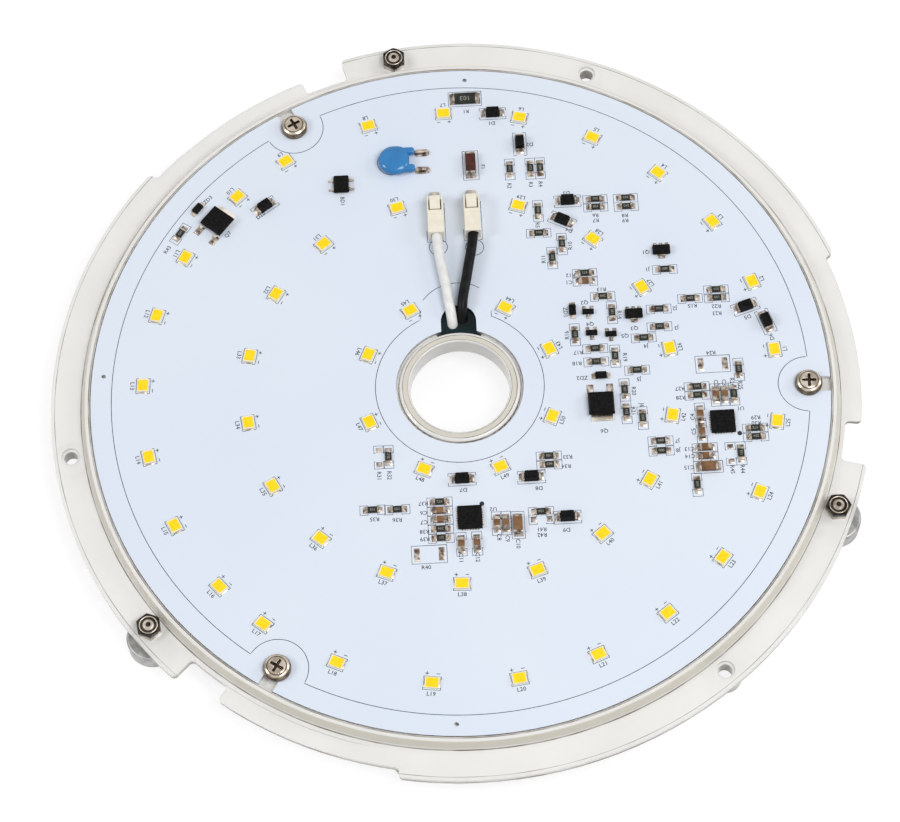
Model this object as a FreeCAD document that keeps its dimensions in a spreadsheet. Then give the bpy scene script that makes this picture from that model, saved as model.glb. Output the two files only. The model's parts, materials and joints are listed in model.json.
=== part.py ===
import FreeCAD, Part
import math
import os
import Sketcher
from FreeCAD import Placement, Rotation, Vector

# Driving sizes, in millimetres and degrees

# Heights are counted from the underside of the carrier's plate, and angles from +X towards +Y.
SIZES = {
    # circuit board and the clear carrier round it
    "board_radius": 92.0,
    "board_thickness": 1.6,
    "board_gap": 0.3,
    "rim_wall": 1.3,
    "rim_slope": 1.1,
    "flange_width": 7.5,
    "plate_thickness": 2.0,
    "seat_height": 1.0,
    "seat_width": 3.6,
    "tooling_hole_radius": 0.55,
    "tooling_hole_inset": 2.9,
    # bayonet notches and tabs in the flange, which come three times
    "notch_clearance": 1.1,
    "notch_start": 105.1,
    "notch_end": 111.8,
    "ramp_start": 131.0,
    "ramp_end": 135.0,
    "tab_end": 139.0,
    "tab_setback": 2.3,
    "tab_lowering": 0.5,
    # collar round the bore
    "bore_radius": 12.5,
    "collar_wall": 2.8,
    "collar_drop": 1.2,
    "collar_below_board": 0.2,
    "collar_outer_round": 1.0,
    "collar_inner_round": 0.4,
    "collar_gap": 0.6,
    "collar_seat_width": 4.6,
    # posts under the flange: three hold magnets and three are plain
    "nut_angle": 97.4,
    "plain_hole_angle": 67.4,
    "post_radius": 4.2,
    "post_height": 2.8,
    "counterbore_step": 0.6,
    "counterbore_depth": 0.8,
    # screws of the board
    "screw_inset": 5.5,
    "screw_angle": 117.0,
    "screw_shank_radius": 1.7,
    "screw_length": 8.0,
    "screw_head_radius": 3.4,
    "screw_head_height": 2.3,
    "screw_recess_width": 3.4,
    "screw_recess_depth": 1.2,
    "screw_slot_clearance": 0.3,
    "screw_boss_wall": 2.5,
    "screw_boss_end": 1.2,
    "recess_blade": 0.7,
    # opening for the leads, and its rubber bushing
    "lead_opening_width": 8.9,
    "lead_opening_centre": 0.55,
    "lead_opening_depth": 6.7,
    "bushing_clearance": 0.1,
    "bushing_lip": 1.0,
    "bushing_below_board": 0.9,
    "bushing_drop": 2.2,
    "lead_diameter": 2.6,
    "lead_clearance": 0.1,
    "bare_wire_diameter": 1.1,
    "bare_wire_length": 8.0,
    "bare_wire_in_block": 3.4,
    # pot magnets with their bolts and nuts
    "magnet_radius": 6.2,
    "magnet_height": 5.0,
    "magnet_edge": 0.4,
    "magnet_back": 1.6,
    "magnet_wall": 0.9,
    "magnet_ring_wall": 2.0,
    "magnet_ring_recess": 0.1,
    "bolt_radius": 1.5,
    "bolt_clearance": 0.2,
    "bolt_head_flare": 1.3,
    "bolt_recess_width": 2.8,
    "bolt_recess_depth": 0.9,
    "bolt_projection": 0.4,
    "bolt_dimple": 0.35,
    "nut_across_flats": 5.5,
    "nut_height": 2.5,
    "nut_clearance": 0.12,
    # light emitting diodes
    "led_length": 3.5,
    "led_width": 2.8,
    "led_height": 0.75,
    "led_wall": 0.35,
    "led_cup_depth": 0.45,
    "led_recess": 0.12,
    "outer_ring_radius": 79.0,
    "middle_ring_radius": 53.3,
    "inner_ring_radius": 24.5,
    # chip resistors, links and capacitors
    "chip_length": 3.2,
    "chip_width": 1.6,
    "resistor_height": 0.6,
    "capacitor_height": 1.0,
    "chip_end": 0.5,
    "solder_reach": 0.8,
    "solder_lip": 0.12,
    "large_capacitor_length": 4.5,
    "large_capacitor_width": 2.2,
    "large_capacitor_height": 1.4,
    "power_resistor_length": 6.4,
    "power_resistor_width": 3.2,
    "fuse_length": 6.1,
    "fuse_width": 2.6,
    "fuse_height": 1.8,
    # packages with leads
    "package_standoff": 0.1,
    "package_taper": 0.12,
    "lead_strip": 0.2,
    "diode_length": 4.3,
    "diode_width": 2.6,
    "diode_height": 2.1,
    "small_diode_length": 2.8,
    "small_diode_width": 1.8,
    "small_diode_height": 1.2,
    "diode_lead_reach": 0.9,
    "diode_lead_width": 1.5,
    "bridge_length": 4.8,
    "bridge_width": 4.0,
    "bridge_height": 1.6,
    "bridge_lead_pitch": 2.6,
    "bridge_lead_width": 0.7,
    "bridge_lead_reach": 1.3,
    "mosfet_width": 6.5,
    "mosfet_length": 6.1,
    "mosfet_height": 2.3,
    "mosfet_plate": 0.5,
    "mosfet_plate_width": 5.4,
    "mosfet_plate_reach": 1.3,
    "mosfet_lead_pitch": 2.28,
    "mosfet_lead_width": 0.8,
    "mosfet_lead_reach": 2.6,
    "transistor_width": 4.5,
    "transistor_length": 2.5,
    "transistor_height": 1.5,
    "transistor_lead_pitch": 1.5,
    "transistor_tab_width": 1.7,
    "small_transistor_width": 2.9,
    "small_transistor_length": 1.4,
    "small_transistor_height": 1.0,
    "small_transistor_lead_pitch": 0.95,
    "transistor_lead_width": 0.45,
    "transistor_lead_reach": 0.9,
    "driver_side": 6.0,
    "driver_height": 0.9,
    "driver_pad_pitch": 0.65,
    "driver_pad_width": 0.35,
    "driver_pad_reach": 0.3,
    # varistor, which lies on the board
    "varistor_x": -13.8,
    "varistor_y": 64.9,
    "varistor_radius": 3.9,
    "varistor_thickness": 3.2,
    "varistor_round": 1.2,
    "varistor_lead_pitch": 5.2,
    "varistor_lead_radius": 0.4,
    "varistor_leg_radius": 0.75,
    "varistor_leg_reach": 1.4,
    "varistor_solder_length": 3.9,
    "varistor_solder_width": 1.9,
    "varistor_solder_height": 0.45,
    # push-in terminal blocks
    "block_width": 4.0,
    "block_length": 10.6,
    "block_height": 4.4,
    "block_front": 41.7,
    "block_step": 0.25,
    "block_step_length": 5.2,
    "block_mouth_height": 2.3,
    "block_mouth_depth": 2.5,
    "block_window_width": 3.3,
    "block_window_length": 4.2,
    "block_window_depth": 2.2,
    "block_window_gap": 0.32,
    "contact_width": 2.3,
    "contact_thickness": 0.3,
    "contact_inset": 3.6,
    "contact_shelf": 2.2,
    "contact_reach": 2.8,
    "contact_clearance": 0.1,
    "neutral_block_x": -3.85,
    "live_block_x": 5.5,
}

# Levels, radii and fits that follow from them
FORMULAS = {
    "plate_top": "=plate_thickness",
    "seat_top": "=plate_top + seat_height",
    "board_top": "=seat_top + board_thickness",
    "rim_inner_radius": "=board_radius + board_gap",
    "rim_top_radius": "=rim_inner_radius + rim_wall",
    "rim_foot_radius": "=rim_top_radius + rim_slope",
    "flange_radius": "=rim_foot_radius + flange_width",
    "notch_root_radius": "=rim_foot_radius + notch_clearance",
    "tab_radius": "=flange_radius - tab_setback",
    "collar_outer_radius": "=bore_radius + collar_wall",
    "collar_top": "=board_top - collar_below_board",
    "board_hole_radius": "=collar_outer_radius + collar_gap",
    "collar_seat_radius": "=board_hole_radius + collar_seat_width",
    "bolt_circle_radius": "=rim_foot_radius + nut_across_flats / sqrt(3) + nut_clearance",
    "bolt_hole_radius": "=bolt_radius + bolt_clearance",
    "bolt_head_radius": "=bolt_radius + bolt_head_flare",
    "bolt_end": "=post_height + plate_top + nut_height + bolt_projection",
    "post_bottom": "=0 - post_height",
    "magnet_inner_radius": "=magnet_radius - magnet_wall",
    "screw_circle_radius": "=board_radius - screw_inset",
    "screw_slot_width": "=2 * (screw_shank_radius + screw_slot_clearance)",
    "screw_boss_radius": "=screw_shank_radius + screw_boss_wall",
    "boss_bottom": "=board_top - screw_length - screw_boss_end",
    "lead_opening_round": "=lead_opening_width / 2",
    "lead_opening_middle": "=board_hole_radius + lead_opening_depth - lead_opening_round",
    "bushing_top": "=board_top - bushing_below_board",
    "bushing_bottom": "=0 - bushing_drop",
    "block_tail": "=block_front + block_length",
    "block_roof": "=board_top + block_height",
    "wire_level": "=board_top + block_mouth_height",
    "contact_start": "=block_front + contact_inset",
    "contact_top": "=block_mouth_height - bare_wire_diameter / 2",
}

# Turns of the LEDs on their rings: first angle, pitch, places left free, and shifts past a neighbour
LED_RINGS = {
    "outer": {"first": 3.9, "pitch": 14.4, "count": 25, "free": (),
              "shifts": {8: 2.8, 10: 1.4, 16: -3.8, 17: -3.3, 18: -0.7}},
    "middle": {"first": 7.8, "pitch": 20.0, "count": 18, "free": (4,), "shifts": {3: 3.1, 5: -3.1}},
    "inner": {"first": 21.2, "pitch": 45.0, "count": 8, "free": (), "shifts": {1: -6.8, 2: 6.6}},
}

# Places of the small components on the board: x, y and turn
RESISTORS = [
    (15.9, 61.3, 90), (21.2, 61.2, 90), (23.7, 61.2, 90), (37.2, 51.1, 0), (37.2, 48.8, 0),
    (45.0, 51.0, 0), (45.0, 48.5, 0), (27.9, 38.6, 90), (25.2, 34.7, 90), (33.1, 29.8, 0),
    (37.2, 22.9, 0), (39.2, 18.2, 90), (29.5, 12.5, 90), (34.3, 8.3, 0), (34.3, 4.6, 0),
    (39.1, 5.9, 90), (40.8, -3.6, 90), (40.8, -9.8, 90), (59.1, 21.0, 0), (65.8, 23.1, 0),
    (65.8, 20.8, 0), (69.5, 0.4, 90), (58.7, -3.8, 0), (58.7, -6.1, 0), (67.7, -6.3, 90),
    (72.1, -16.0, 0), (72.1, -18.3, 0), (68.0, -22.6, 90), (20.9, -20.6, 0), (20.9, -22.9, 0),
    (-18.5, -18.5, 90), (-22.9, -32.6, 0), (-16.9, -32.8, 0), (-6.5, -31.4, 0), (-6.5, -38.6, 0),
    (-6.5, -41.0, 0), (18.1, -35.4, 0), (-69.2, 47.4, 55),
]
LINKS = [
    (22.4, 48.6, 90), (22.2, 42.1, 0), (53.4, 29.7, 0), (51.0, 18.5, 0), (50.8, 13.5, 0),
    (46.6, 10.6, 0), (44.3, 1.7, 0), (44.7, -11.6, 90), (48.6, -18.1, 0), (48.6, -20.8, 0),
    (56.6, -30.4, 90),
]
CAPACITORS = [
    (33.1, 27.5, 0), (63.2, -6.3, 90), (65.4, -6.3, 90), (58.9, -11.4, 90), (58.9, -16.2, 90),
    (59.3, -20.6, 0), (59.3, -22.9, 0), (-6.5, -33.8, 0), (-6.5, -36.2, 0), (7.2, -37.9, 90),
    (9.4, -37.9, 90), (-1.7, -42.9, 90), (2.1, -42.9, 90),
]
LARGE_CAPACITORS = [(59.7, -25.8, 0), (12.3, -38.6, 90)]
DIODES = [
    (12.4, 78.3, 0), (18.9, 68.7, 90), (30.1, 51.0, 0), (28.4, 45.4, -28), (-47.4, 54.0, 35),
    (72.7, 17.8, 18), (77.5, 13.4, -72), (-0.7, -25.6, 0), (16.3, -26.0, 0), (24.4, -37.2, 0),
]
SMALL_DIODES = [(-64.6, 54.3, 50), (29.3, 19.3, 90), (35.2, 0.6, 0)]
TRANSISTORS = [(52.9, 35.1, 180), (44.6, 17.3, 180)]
SMALL_TRANSISTORS = [(33.2, 18.6, 180), (33.7, 12.6, 180), (38.5, 12.0, 180)]
MOSFETS = {"switch_mosfet": (34.7, -7.5, 180), "input_mosfet": (-59.6, 50.0, -40)}
DRIVERS = {"main_driver_chip": (64.3, -13.8, 0), "second_driver_chip": (0.7, -36.0, 0)}
BRIDGE = (-27.6, 59.1, 0)
POWER_RESISTOR = (5.4, 83.2, 0)
FUSE = (5.9, 63.1, 90)
TOOLING_HOLE_ANGLES = (86.4, 175.0, 266.7)
NUT_TURNS = (-7.4, 0.0, 22.6)

# Routes of the two leads, chosen by hand: out of the blocks, over the board, down through the
# bushing, and along the surface under the plate
WHITE_ROUTE = [
    (-3.85, 44.0, 6.9), (-3.75, 40.0, 6.9), (-3.2, 34.8, 6.75), (-2.3, 29.2, 6.55), (-1.75, 23.9, 6.4),
    (-1.3, 20.7, 5.95), (-1.0, 18.1, 4.2), (-0.9, 16.95, 1.4), (-1.0, 16.8, -1.6), (-2.2, 17.1, -4.2),
    (-5.0, 17.9, -5.9), (-9.0, 19.4, -6.4), (-14.6, 22.8, -6.45), (-23.0, 29.6, -6.45),
    (-35.0, 33.5, -6.45), (-48.0, 29.5, -6.45), (-57.5, 19.0, -6.45), (-62.0, 6.0, -6.45),
    (-60.0, -8.0, -6.45), (-52.0, -19.5, -6.45),
]
BLACK_ROUTE = [
    (5.5, 44.0, 6.9), (5.45, 41.0, 6.9), (4.8, 37.2, 6.85), (3.9, 33.2, 6.7), (3.15, 29.2, 6.6),
    (2.3, 25.6, 6.4), (1.75, 22.4, 6.35), (1.6, 19.9, 4.7), (1.6, 18.5, 2.2), (1.7, 18.1, -0.7),
    (2.6, 18.0, -3.5), (4.9, 18.5, -5.5), (8.7, 19.9, -6.4), (14.2, 23.2, -6.45), (22.0, 30.4, -6.45),
    (33.5, 36.6, -6.45), (47.0, 35.0, -6.45), (58.0, 26.0, -6.45), (64.5, 13.5, -6.45),
    (64.0, -0.5, -6.45), (58.5, -13.0, -6.45),
]

THIRDS = (0, 120, 240)

doc = FreeCAD.newDocument("LightEngine")
sheet = doc.addObject("Spreadsheet::Sheet", "Sizes")
cells = [(alias, str(number)) for alias, number in SIZES.items()] + list(FORMULAS.items())
for row, (alias, text) in enumerate(cells, 1):
    sheet.set(f"A{row}", alias)
    sheet.set(f"B{row}", text)
    sheet.setAlias(f"B{row}", alias)
doc.recompute()


def size(alias):
    """The number in a named cell."""
    return float(sheet.get(alias))


def value(text):
    """The number that a formula gives now, worked out in a spare cell of the sheet."""
    spare = f"C{len(cells) + 1}"
    sheet.set(spare, "=" + text.replace("Sizes.", ""))
    sheet.recompute()
    number = float(sheet.get(spare))
    sheet.clear(spare)
    return number


# Objects whose sizes and places are bound to the sheet

def bind(item, **formulas):
    for name, text in formulas.items():
        item.setExpression(name, text)
    return item


def stand(item, x="0", y="0", z="0", turn=None):
    """Places an object at x, y, z and turns it about +Z."""
    for name, text in zip("xyz", (x, y, z)):
        item.setExpression(f"Placement.Base.{name}", text)
    if turn is not None:
        item.Placement.Rotation = Rotation(Vector(0, 0, 1), 1)
        item.setExpression("Placement.Rotation.Angle", turn)
    return item


def round_bar(name, radius, height, x="0", y="0", z="0"):
    return stand(bind(doc.addObject("Part::Cylinder", name), Radius=radius, Height=height), x, y, z)


def lying_bar(name, radius, length, x, y, z, along):
    """A round bar whose axis runs along a vector."""
    item = bind(doc.addObject("Part::Cylinder", name), Radius=radius, Height=length)
    item.Placement.Rotation = Rotation(Vector(0, 0, 1), along)
    return stand(item, x, y, z)


def sector(name, radius, height, z, start, sweep):
    """A slice of a disc about the bore's axis, from one angle on."""
    item = bind(doc.addObject("Part::Cylinder", name), Radius=radius, Height=height, Angle=sweep)
    return stand(item, z=z, turn=start)


def block(name, length, width, height, x="0", y="0", z="0", turn=None):
    item = bind(doc.addObject("Part::Box", name), Length=length, Width=width, Height=height)
    return stand(item, x, y, z, turn)


def joined(name, items):
    item = doc.addObject("Part::MultiFuse", name)
    item.Shapes = items
    return item


def less(name, base, tool):
    item = doc.addObject("Part::Cut", name)
    item.Base = base
    item.Tool = tool
    return item


def around(radius, angle, extra):
    """Formulas for a place on a circle about the bore's axis."""
    return (f"{radius} * cos(({angle} + {extra}) * 1 deg)",
            f"{radius} * sin(({angle} + {extra}) * 1 deg)")


def turned(name, corners):
    """A body of revolution about +Z; each corner of its half section is a radius and a height."""
    item = doc.addObject("PartDesign::Body", name)
    sketch = item.newObject("Sketcher::SketchObject", name + "_section")
    upright = next(f for f in item.Origin.OriginFeatures if f.Role == "XZ_Plane")
    sketch.AttachmentSupport = (upright, [""])
    sketch.MapMode = "FlatFace"
    points = [Vector(value(radius), value(height), 0) for radius, height in corners]
    for here, there in zip(points, points[1:] + points[:1]):
        sketch.addGeometry(Part.LineSegment(here, there))
    for k, (radius, height) in enumerate(corners):
        before = (k - 1) % len(corners)
        sketch.addConstraint(Sketcher.Constraint("Coincident", before, 2, k, 1))
        for kind, text, guess, axis in (("DistanceX", radius, points[k].x, -2),
                                        ("DistanceY", height, points[k].y, -1)):
            if text == "0":
                sketch.addConstraint(Sketcher.Constraint("PointOnObject", k, 1, axis))
            else:
                mark = sketch.addConstraint(Sketcher.Constraint(kind, -1, 1, k, 1, guess))
                sketch.setExpression(f"Constraints[{mark}]", text)
    spin = item.newObject("PartDesign::Revolution", name + "_turn")
    spin.Profile = sketch
    spin.ReferenceAxis = (sketch, ["V_Axis"])
    spin.Angle = 360
    item.Tip = spin
    return item


def rounded(name, item, rings):
    """Rounds circular edges about an upright axis; each ring is a radius, a height and a round."""
    doc.recompute()
    fillet = doc.addObject("Part::Fillet", name)
    fillet.Base = item
    fillet.Edges = [(k, round_radius, round_radius)
                    for k, edge in enumerate(item.Shape.Edges, 1)
                    for radius, height, round_radius in rings
                    if isinstance(edge.Curve, Part.Circle)
                    and abs(edge.Curve.Radius - radius) < 1e-4
                    and abs(edge.Curve.Center.z - height) < 1e-4]
    return fillet


# Shapes that are copied to many places

NODES = {}


def node(item, name):
    """Gives a sub-part the name that its file takes."""
    item.Label = name
    NODES[name] = item
    return item


def moved(shape, place):
    copy = shape.copy()
    copy.Placement = place.multiply(copy.Placement)
    return copy


def feature(name, shape):
    """A node with a shape of its own."""
    item = doc.addObject("Part::Feature", name)
    item.Shape = shape
    return node(item, name)


def copies(name, master, places):
    """A node of equal pieces, each a copy of a master shape at its own place."""
    return feature(name, Part.makeCompound([moved(master, place) for place in places]))


def turned_to(x, y, turn, z=0.0):
    return Placement(Vector(x, y, z), Rotation(Vector(0, 0, 1), turn))


def on_board(x, y, turn=0.0):
    """The place of a component that stands on the board's face."""
    return turned_to(x, y, turn, size("board_top"))


def on_ring(radius, angle, height=0.0):
    """A place on a circle about the bore's axis, with local X along the radius."""
    return turned_to(0, 0, angle).multiply(turned_to(radius, 0, 0, height))


def box(x, y, z, length, width, height):
    """A box that is centred on x and y and stands on z."""
    return Part.makeBox(length, width, height, Vector(x - length / 2, y - width / 2, z))


def prism(points, axis):
    """An outline pushed out along a vector."""
    return Part.Face(Part.makePolygon(points + points[:1])).extrude(axis)


# Carrier: one clear moulding with a plate, rim, collar, magnet posts, screw bosses and bayonet tabs

section = turned("carrier_section", [
    ("Sizes.bore_radius", "0 - Sizes.collar_drop"),
    ("Sizes.collar_outer_radius", "0 - Sizes.collar_drop"),
    ("Sizes.collar_outer_radius", "0"),
    ("Sizes.flange_radius", "0"),
    ("Sizes.flange_radius", "Sizes.plate_top"),
    ("Sizes.rim_foot_radius", "Sizes.plate_top"),
    ("Sizes.rim_top_radius", "Sizes.board_top"),
    ("Sizes.rim_inner_radius", "Sizes.board_top"),
    ("Sizes.rim_inner_radius", "Sizes.seat_top"),
    ("Sizes.rim_inner_radius - Sizes.seat_width", "Sizes.seat_top"),
    ("Sizes.rim_inner_radius - Sizes.seat_width", "Sizes.plate_top"),
    ("Sizes.collar_seat_radius", "Sizes.plate_top"),
    ("Sizes.collar_seat_radius", "Sizes.seat_top"),
    ("Sizes.collar_outer_radius", "Sizes.seat_top"),
    ("Sizes.collar_outer_radius", "Sizes.collar_top"),
    ("Sizes.bore_radius", "Sizes.collar_top"),
])
section = rounded("carrier_rounds", section, [
    (size("collar_outer_radius"), size("collar_top"), size("collar_outer_round")),
    (size("bore_radius"), size("collar_top"), size("collar_inner_round")),
])

solid_parts = [section]
removed = []
for number, extra in enumerate(THIRDS, 1):
    for title, angle in (("magnet", "Sizes.nut_angle"), ("plain", "Sizes.plain_hole_angle")):
        x, y = around("Sizes.bolt_circle_radius", angle, extra)
        solid_parts.append(round_bar(f"{title}_post_{number}", "Sizes.post_radius", "Sizes.post_height",
                                     x, y, "Sizes.post_bottom"))
        removed.append(round_bar(f"{title}_post_hole_{number}", "Sizes.bolt_hole_radius",
                                 "Sizes.post_height + Sizes.plate_top", x, y, "Sizes.post_bottom"))
    removed.append(round_bar(f"counterbore_{number}", "Sizes.bolt_hole_radius + Sizes.counterbore_step",
                             "Sizes.counterbore_depth", x, y,
                             "Sizes.plate_top - Sizes.counterbore_depth"))
    x, y = around("Sizes.screw_circle_radius", "Sizes.screw_angle", extra)
    boss_height = "Sizes.seat_top - Sizes.boss_bottom"
    solid_parts.append(round_bar(f"screw_boss_{number}", "Sizes.screw_boss_radius", boss_height,
                                 x, y, "Sizes.boss_bottom"))
    removed.append(round_bar(f"screw_pilot_{number}", "Sizes.screw_shank_radius", boss_height,
                             x, y, "Sizes.boss_bottom"))

# Each cut is a slice of the flange's disc less a core, so that only the flange loses material
slices = {
    "notch": ("Sizes.notch_root_radius", "0", "Sizes.plate_thickness",
              "Sizes.notch_start", "Sizes.notch_end"),
    "tab": ("Sizes.tab_radius", "0", "Sizes.plate_thickness",
            "Sizes.notch_end", "Sizes.tab_end"),
    "lowered_tab": ("Sizes.notch_root_radius", "Sizes.plate_top - Sizes.tab_lowering",
                    "Sizes.tab_lowering", "Sizes.notch_end", "Sizes.ramp_start"),
}
for title, (core, level, height, start, end) in slices.items():
    discs = [sector(f"{title}_slice_{number}", "Sizes.flange_radius + 1", height, level,
                    f"({start} + {extra}) * 1 deg", f"({end} - {start}) * 1 deg")
             for number, extra in enumerate(THIRDS, 1)]
    removed.append(less(f"{title}_cuts", joined(f"{title}_slices", discs),
                        round_bar(f"{title}_core", core, height, z=level)))

# A ramp climbs from the lowered part of each tab to its full height
ramp_run = math.radians(size("ramp_end") - size("ramp_start")) * size("tab_radius")
ramp_root = size("notch_root_radius")
lowered_level = size("plate_top") - size("tab_lowering")
ramp_wedge = prism([Vector(ramp_root, -ramp_run / 2, lowered_level),
                    Vector(ramp_root, ramp_run / 2, size("plate_top")),
                    Vector(ramp_root, -ramp_run / 2, size("plate_top") + size("tab_lowering"))],
                   Vector(size("flange_radius") - ramp_root, 0, 0))
ramp_middle = (size("ramp_start") + size("ramp_end")) / 2
ramps = doc.addObject("Part::Feature", "ramp_cuts")
ramps.Shape = Part.makeCompound([moved(ramp_wedge, turned_to(0, 0, ramp_middle + extra))
                                 for extra in THIRDS])
removed.append(ramps)


def lead_opening(name, grow, z, height):
    """A round-ended prism about the leads, open towards the collar."""
    width = f"(Sizes.lead_opening_width + 2 * ({grow}))"
    end = round_bar(name + "_end", f"Sizes.lead_opening_round + ({grow})", height,
                    "Sizes.lead_opening_centre", "Sizes.lead_opening_middle", z)
    stem = block(name + "_stem", width, "Sizes.lead_opening_middle - Sizes.bore_radius", height,
                 f"Sizes.lead_opening_centre - {width} / 2", "Sizes.bore_radius", z)
    return less(name, joined(name + "_whole", [end, stem]),
                round_bar(name + "_core", "Sizes.collar_outer_radius", height, z=z))


removed.append(lead_opening("plate_lead_opening", "0", "0 - Sizes.collar_drop",
                            "Sizes.collar_drop + Sizes.plate_top"))
removed.append(lead_opening("seat_lead_opening", "Sizes.bushing_lip + Sizes.bushing_clearance",
                            "Sizes.plate_top", "Sizes.seat_height"))

node(less("carrier_part", joined("carrier_blank", solid_parts), joined("carrier_cuts", removed)),
     "carrier")

# Circuit board: an aluminium disc with a centre hole, three screw slots open to its edge, an
# opening for the leads and three tooling holes

openings = [round_bar("board_hole", "Sizes.board_hole_radius", "Sizes.board_thickness", z="Sizes.seat_top")]
for number, extra in enumerate(THIRDS, 1):
    x, y = around("Sizes.screw_circle_radius", "Sizes.screw_angle", extra)
    openings.append(round_bar(f"slot_end_{number}", "Sizes.screw_slot_width / 2",
                              "Sizes.board_thickness", x, y, "Sizes.seat_top"))
    aside_x, aside_y = around("Sizes.screw_slot_width / 2", "Sizes.screw_angle", extra - 90)
    openings.append(block(f"slot_{number}", "2 * Sizes.screw_inset",
                          "Sizes.screw_slot_width", "Sizes.board_thickness",
                          f"{x} + {aside_x}", f"{y} + {aside_y}", "Sizes.seat_top",
                          f"(Sizes.screw_angle + {extra}) * 1 deg"))
for number, angle in enumerate(TOOLING_HOLE_ANGLES, 1):
    x, y = around("(Sizes.board_radius - Sizes.tooling_hole_inset)", angle, 0)
    openings.append(round_bar(f"tooling_hole_{number}", "Sizes.tooling_hole_radius",
                              "Sizes.board_thickness", x, y, "Sizes.seat_top"))
openings.append(lead_opening("board_lead_opening", "0", "Sizes.seat_top", "Sizes.board_thickness"))
board_disc = round_bar("board_disc", "Sizes.board_radius", "Sizes.board_thickness", z="Sizes.seat_top")
node(less("board_part", board_disc, joined("board_cuts", openings)), "circuit_board")


# Leads: round tubes of straight runs joined by tangent arcs, with a bare end in the block and
# another at the far end

def route_path(points):
    """The wire of a route, and the radius of each of its arcs."""
    points = [Vector(*p) for p in points]
    edges, radii, start = [], [], points[0]
    for before, corner, after in zip(points, points[1:], points[2:]):
        back, on = before - corner, after - corner
        half_turn = (math.pi - back.getAngle(on)) / 2
        trim = 0.45 * min(back.Length, on.Length)
        radius = trim / math.tan(half_turn)
        back.normalize()
        on.normalize()
        inward = back + on
        inward.normalize()
        first, last = corner + back * trim, corner + on * trim
        middle = corner + inward * (radius / math.cos(half_turn) - radius)
        edges += [Part.LineSegment(start, first).toShape(), Part.Arc(first, middle, last).toShape()]
        radii.append(radius)
        start = last
    edges.append(Part.LineSegment(start, points[-1]).toShape())
    return Part.Wire(edges), radii


def tube(points, diameter):
    path, _ = route_path(points)
    start = Vector(*points[0])
    ring = Part.Wire(Part.makeCircle(diameter / 2, start, Vector(*points[1]) - start))
    return path.makePipeShell([ring], True, False)


def bare_end(end, before, length):
    """A bare stretch of wire that carries on past a route's end."""
    end = Vector(*end)
    return Part.makeCylinder(size("bare_wire_diameter") / 2, length, end, end - Vector(*before))


for colour, route in (("white", WHITE_ROUTE), ("black", BLACK_ROUTE)):
    path, radii = route_path(route)
    sleeve = feature(colour + "_lead", tube(route, size("lead_diameter")))
    expected = math.pi * (size("lead_diameter") / 2) ** 2 * path.Length
    print(colour, "lead", round(path.Length, 1), "mm, volume ratio",
          round(sleeve.Shape.Volume / expected, 4), "radii", [round(r, 1) for r in radii])
    feature(colour + "_lead_wire", Part.makeCompound([
        bare_end(route[0], route[1], size("bare_wire_in_block")),
        bare_end(route[-1], route[-2], size("bare_wire_length"))]))

# Lead bushing: a rubber plug in the opening, held by a lip under the board, with a passage for
# each lead

plug = joined("bushing_blank", [
    lead_opening("bushing_plug", "0 - Sizes.bushing_clearance", "Sizes.bushing_bottom",
                 "Sizes.bushing_top - Sizes.bushing_bottom"),
    lead_opening("bushing_lip_part", "Sizes.bushing_lip", "Sizes.plate_top", "Sizes.seat_height"),
])
doc.recompute()
bushing_height = size("bushing_top") - size("bushing_bottom")
near_collar = Part.makeCylinder(size("collar_outer_radius") + size("bushing_clearance"), bushing_height,
                                Vector(0, 0, size("bushing_bottom")))
passages = [tube(route, size("lead_diameter") + 2 * size("lead_clearance"))
            for route in (WHITE_ROUTE, BLACK_ROUTE)]
feature("lead_bushing", plug.Shape.cut(near_collar).cut(passages[0]).cut(passages[1]))

# Board screws: pan heads with a cross recess, driven into the carrier's bosses

screw = turned("board_screw_section", [
    ("0", "0 - Sizes.screw_length"),
    ("Sizes.screw_shank_radius * 0.4", "0 - Sizes.screw_length"),
    ("Sizes.screw_shank_radius", "Sizes.screw_shank_radius - Sizes.screw_length"),
    ("Sizes.screw_shank_radius", "0"),
    ("Sizes.screw_head_radius", "0"),
    ("Sizes.screw_head_radius", "Sizes.screw_head_height * 0.4"),
    ("Sizes.screw_head_radius * 0.88", "Sizes.screw_head_height * 0.75"),
    ("Sizes.screw_head_radius * 0.6", "Sizes.screw_head_height * 0.96"),
    ("0", "Sizes.screw_head_height"),
])
doc.recompute()


def cross_recess(width, depth, level):
    """Two crossed blades, sunk to a depth on both sides of a level."""
    blade = size("recess_blade")
    return (box(0, 0, level - depth, width, blade, 2 * depth)
            .fuse(box(0, 0, level - depth, blade, width, 2 * depth)))


screw_recess = cross_recess(size("screw_recess_width"), size("screw_recess_depth"),
                            size("screw_head_height"))
copies("board_screws", screw.Shape.cut(screw_recess),
       [on_ring(size("screw_circle_radius"), size("screw_angle") + extra, size("board_top"))
        for extra in THIRDS])

# Pot magnets: a steel cup that opens downwards, and a ring magnet glued in it

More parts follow.
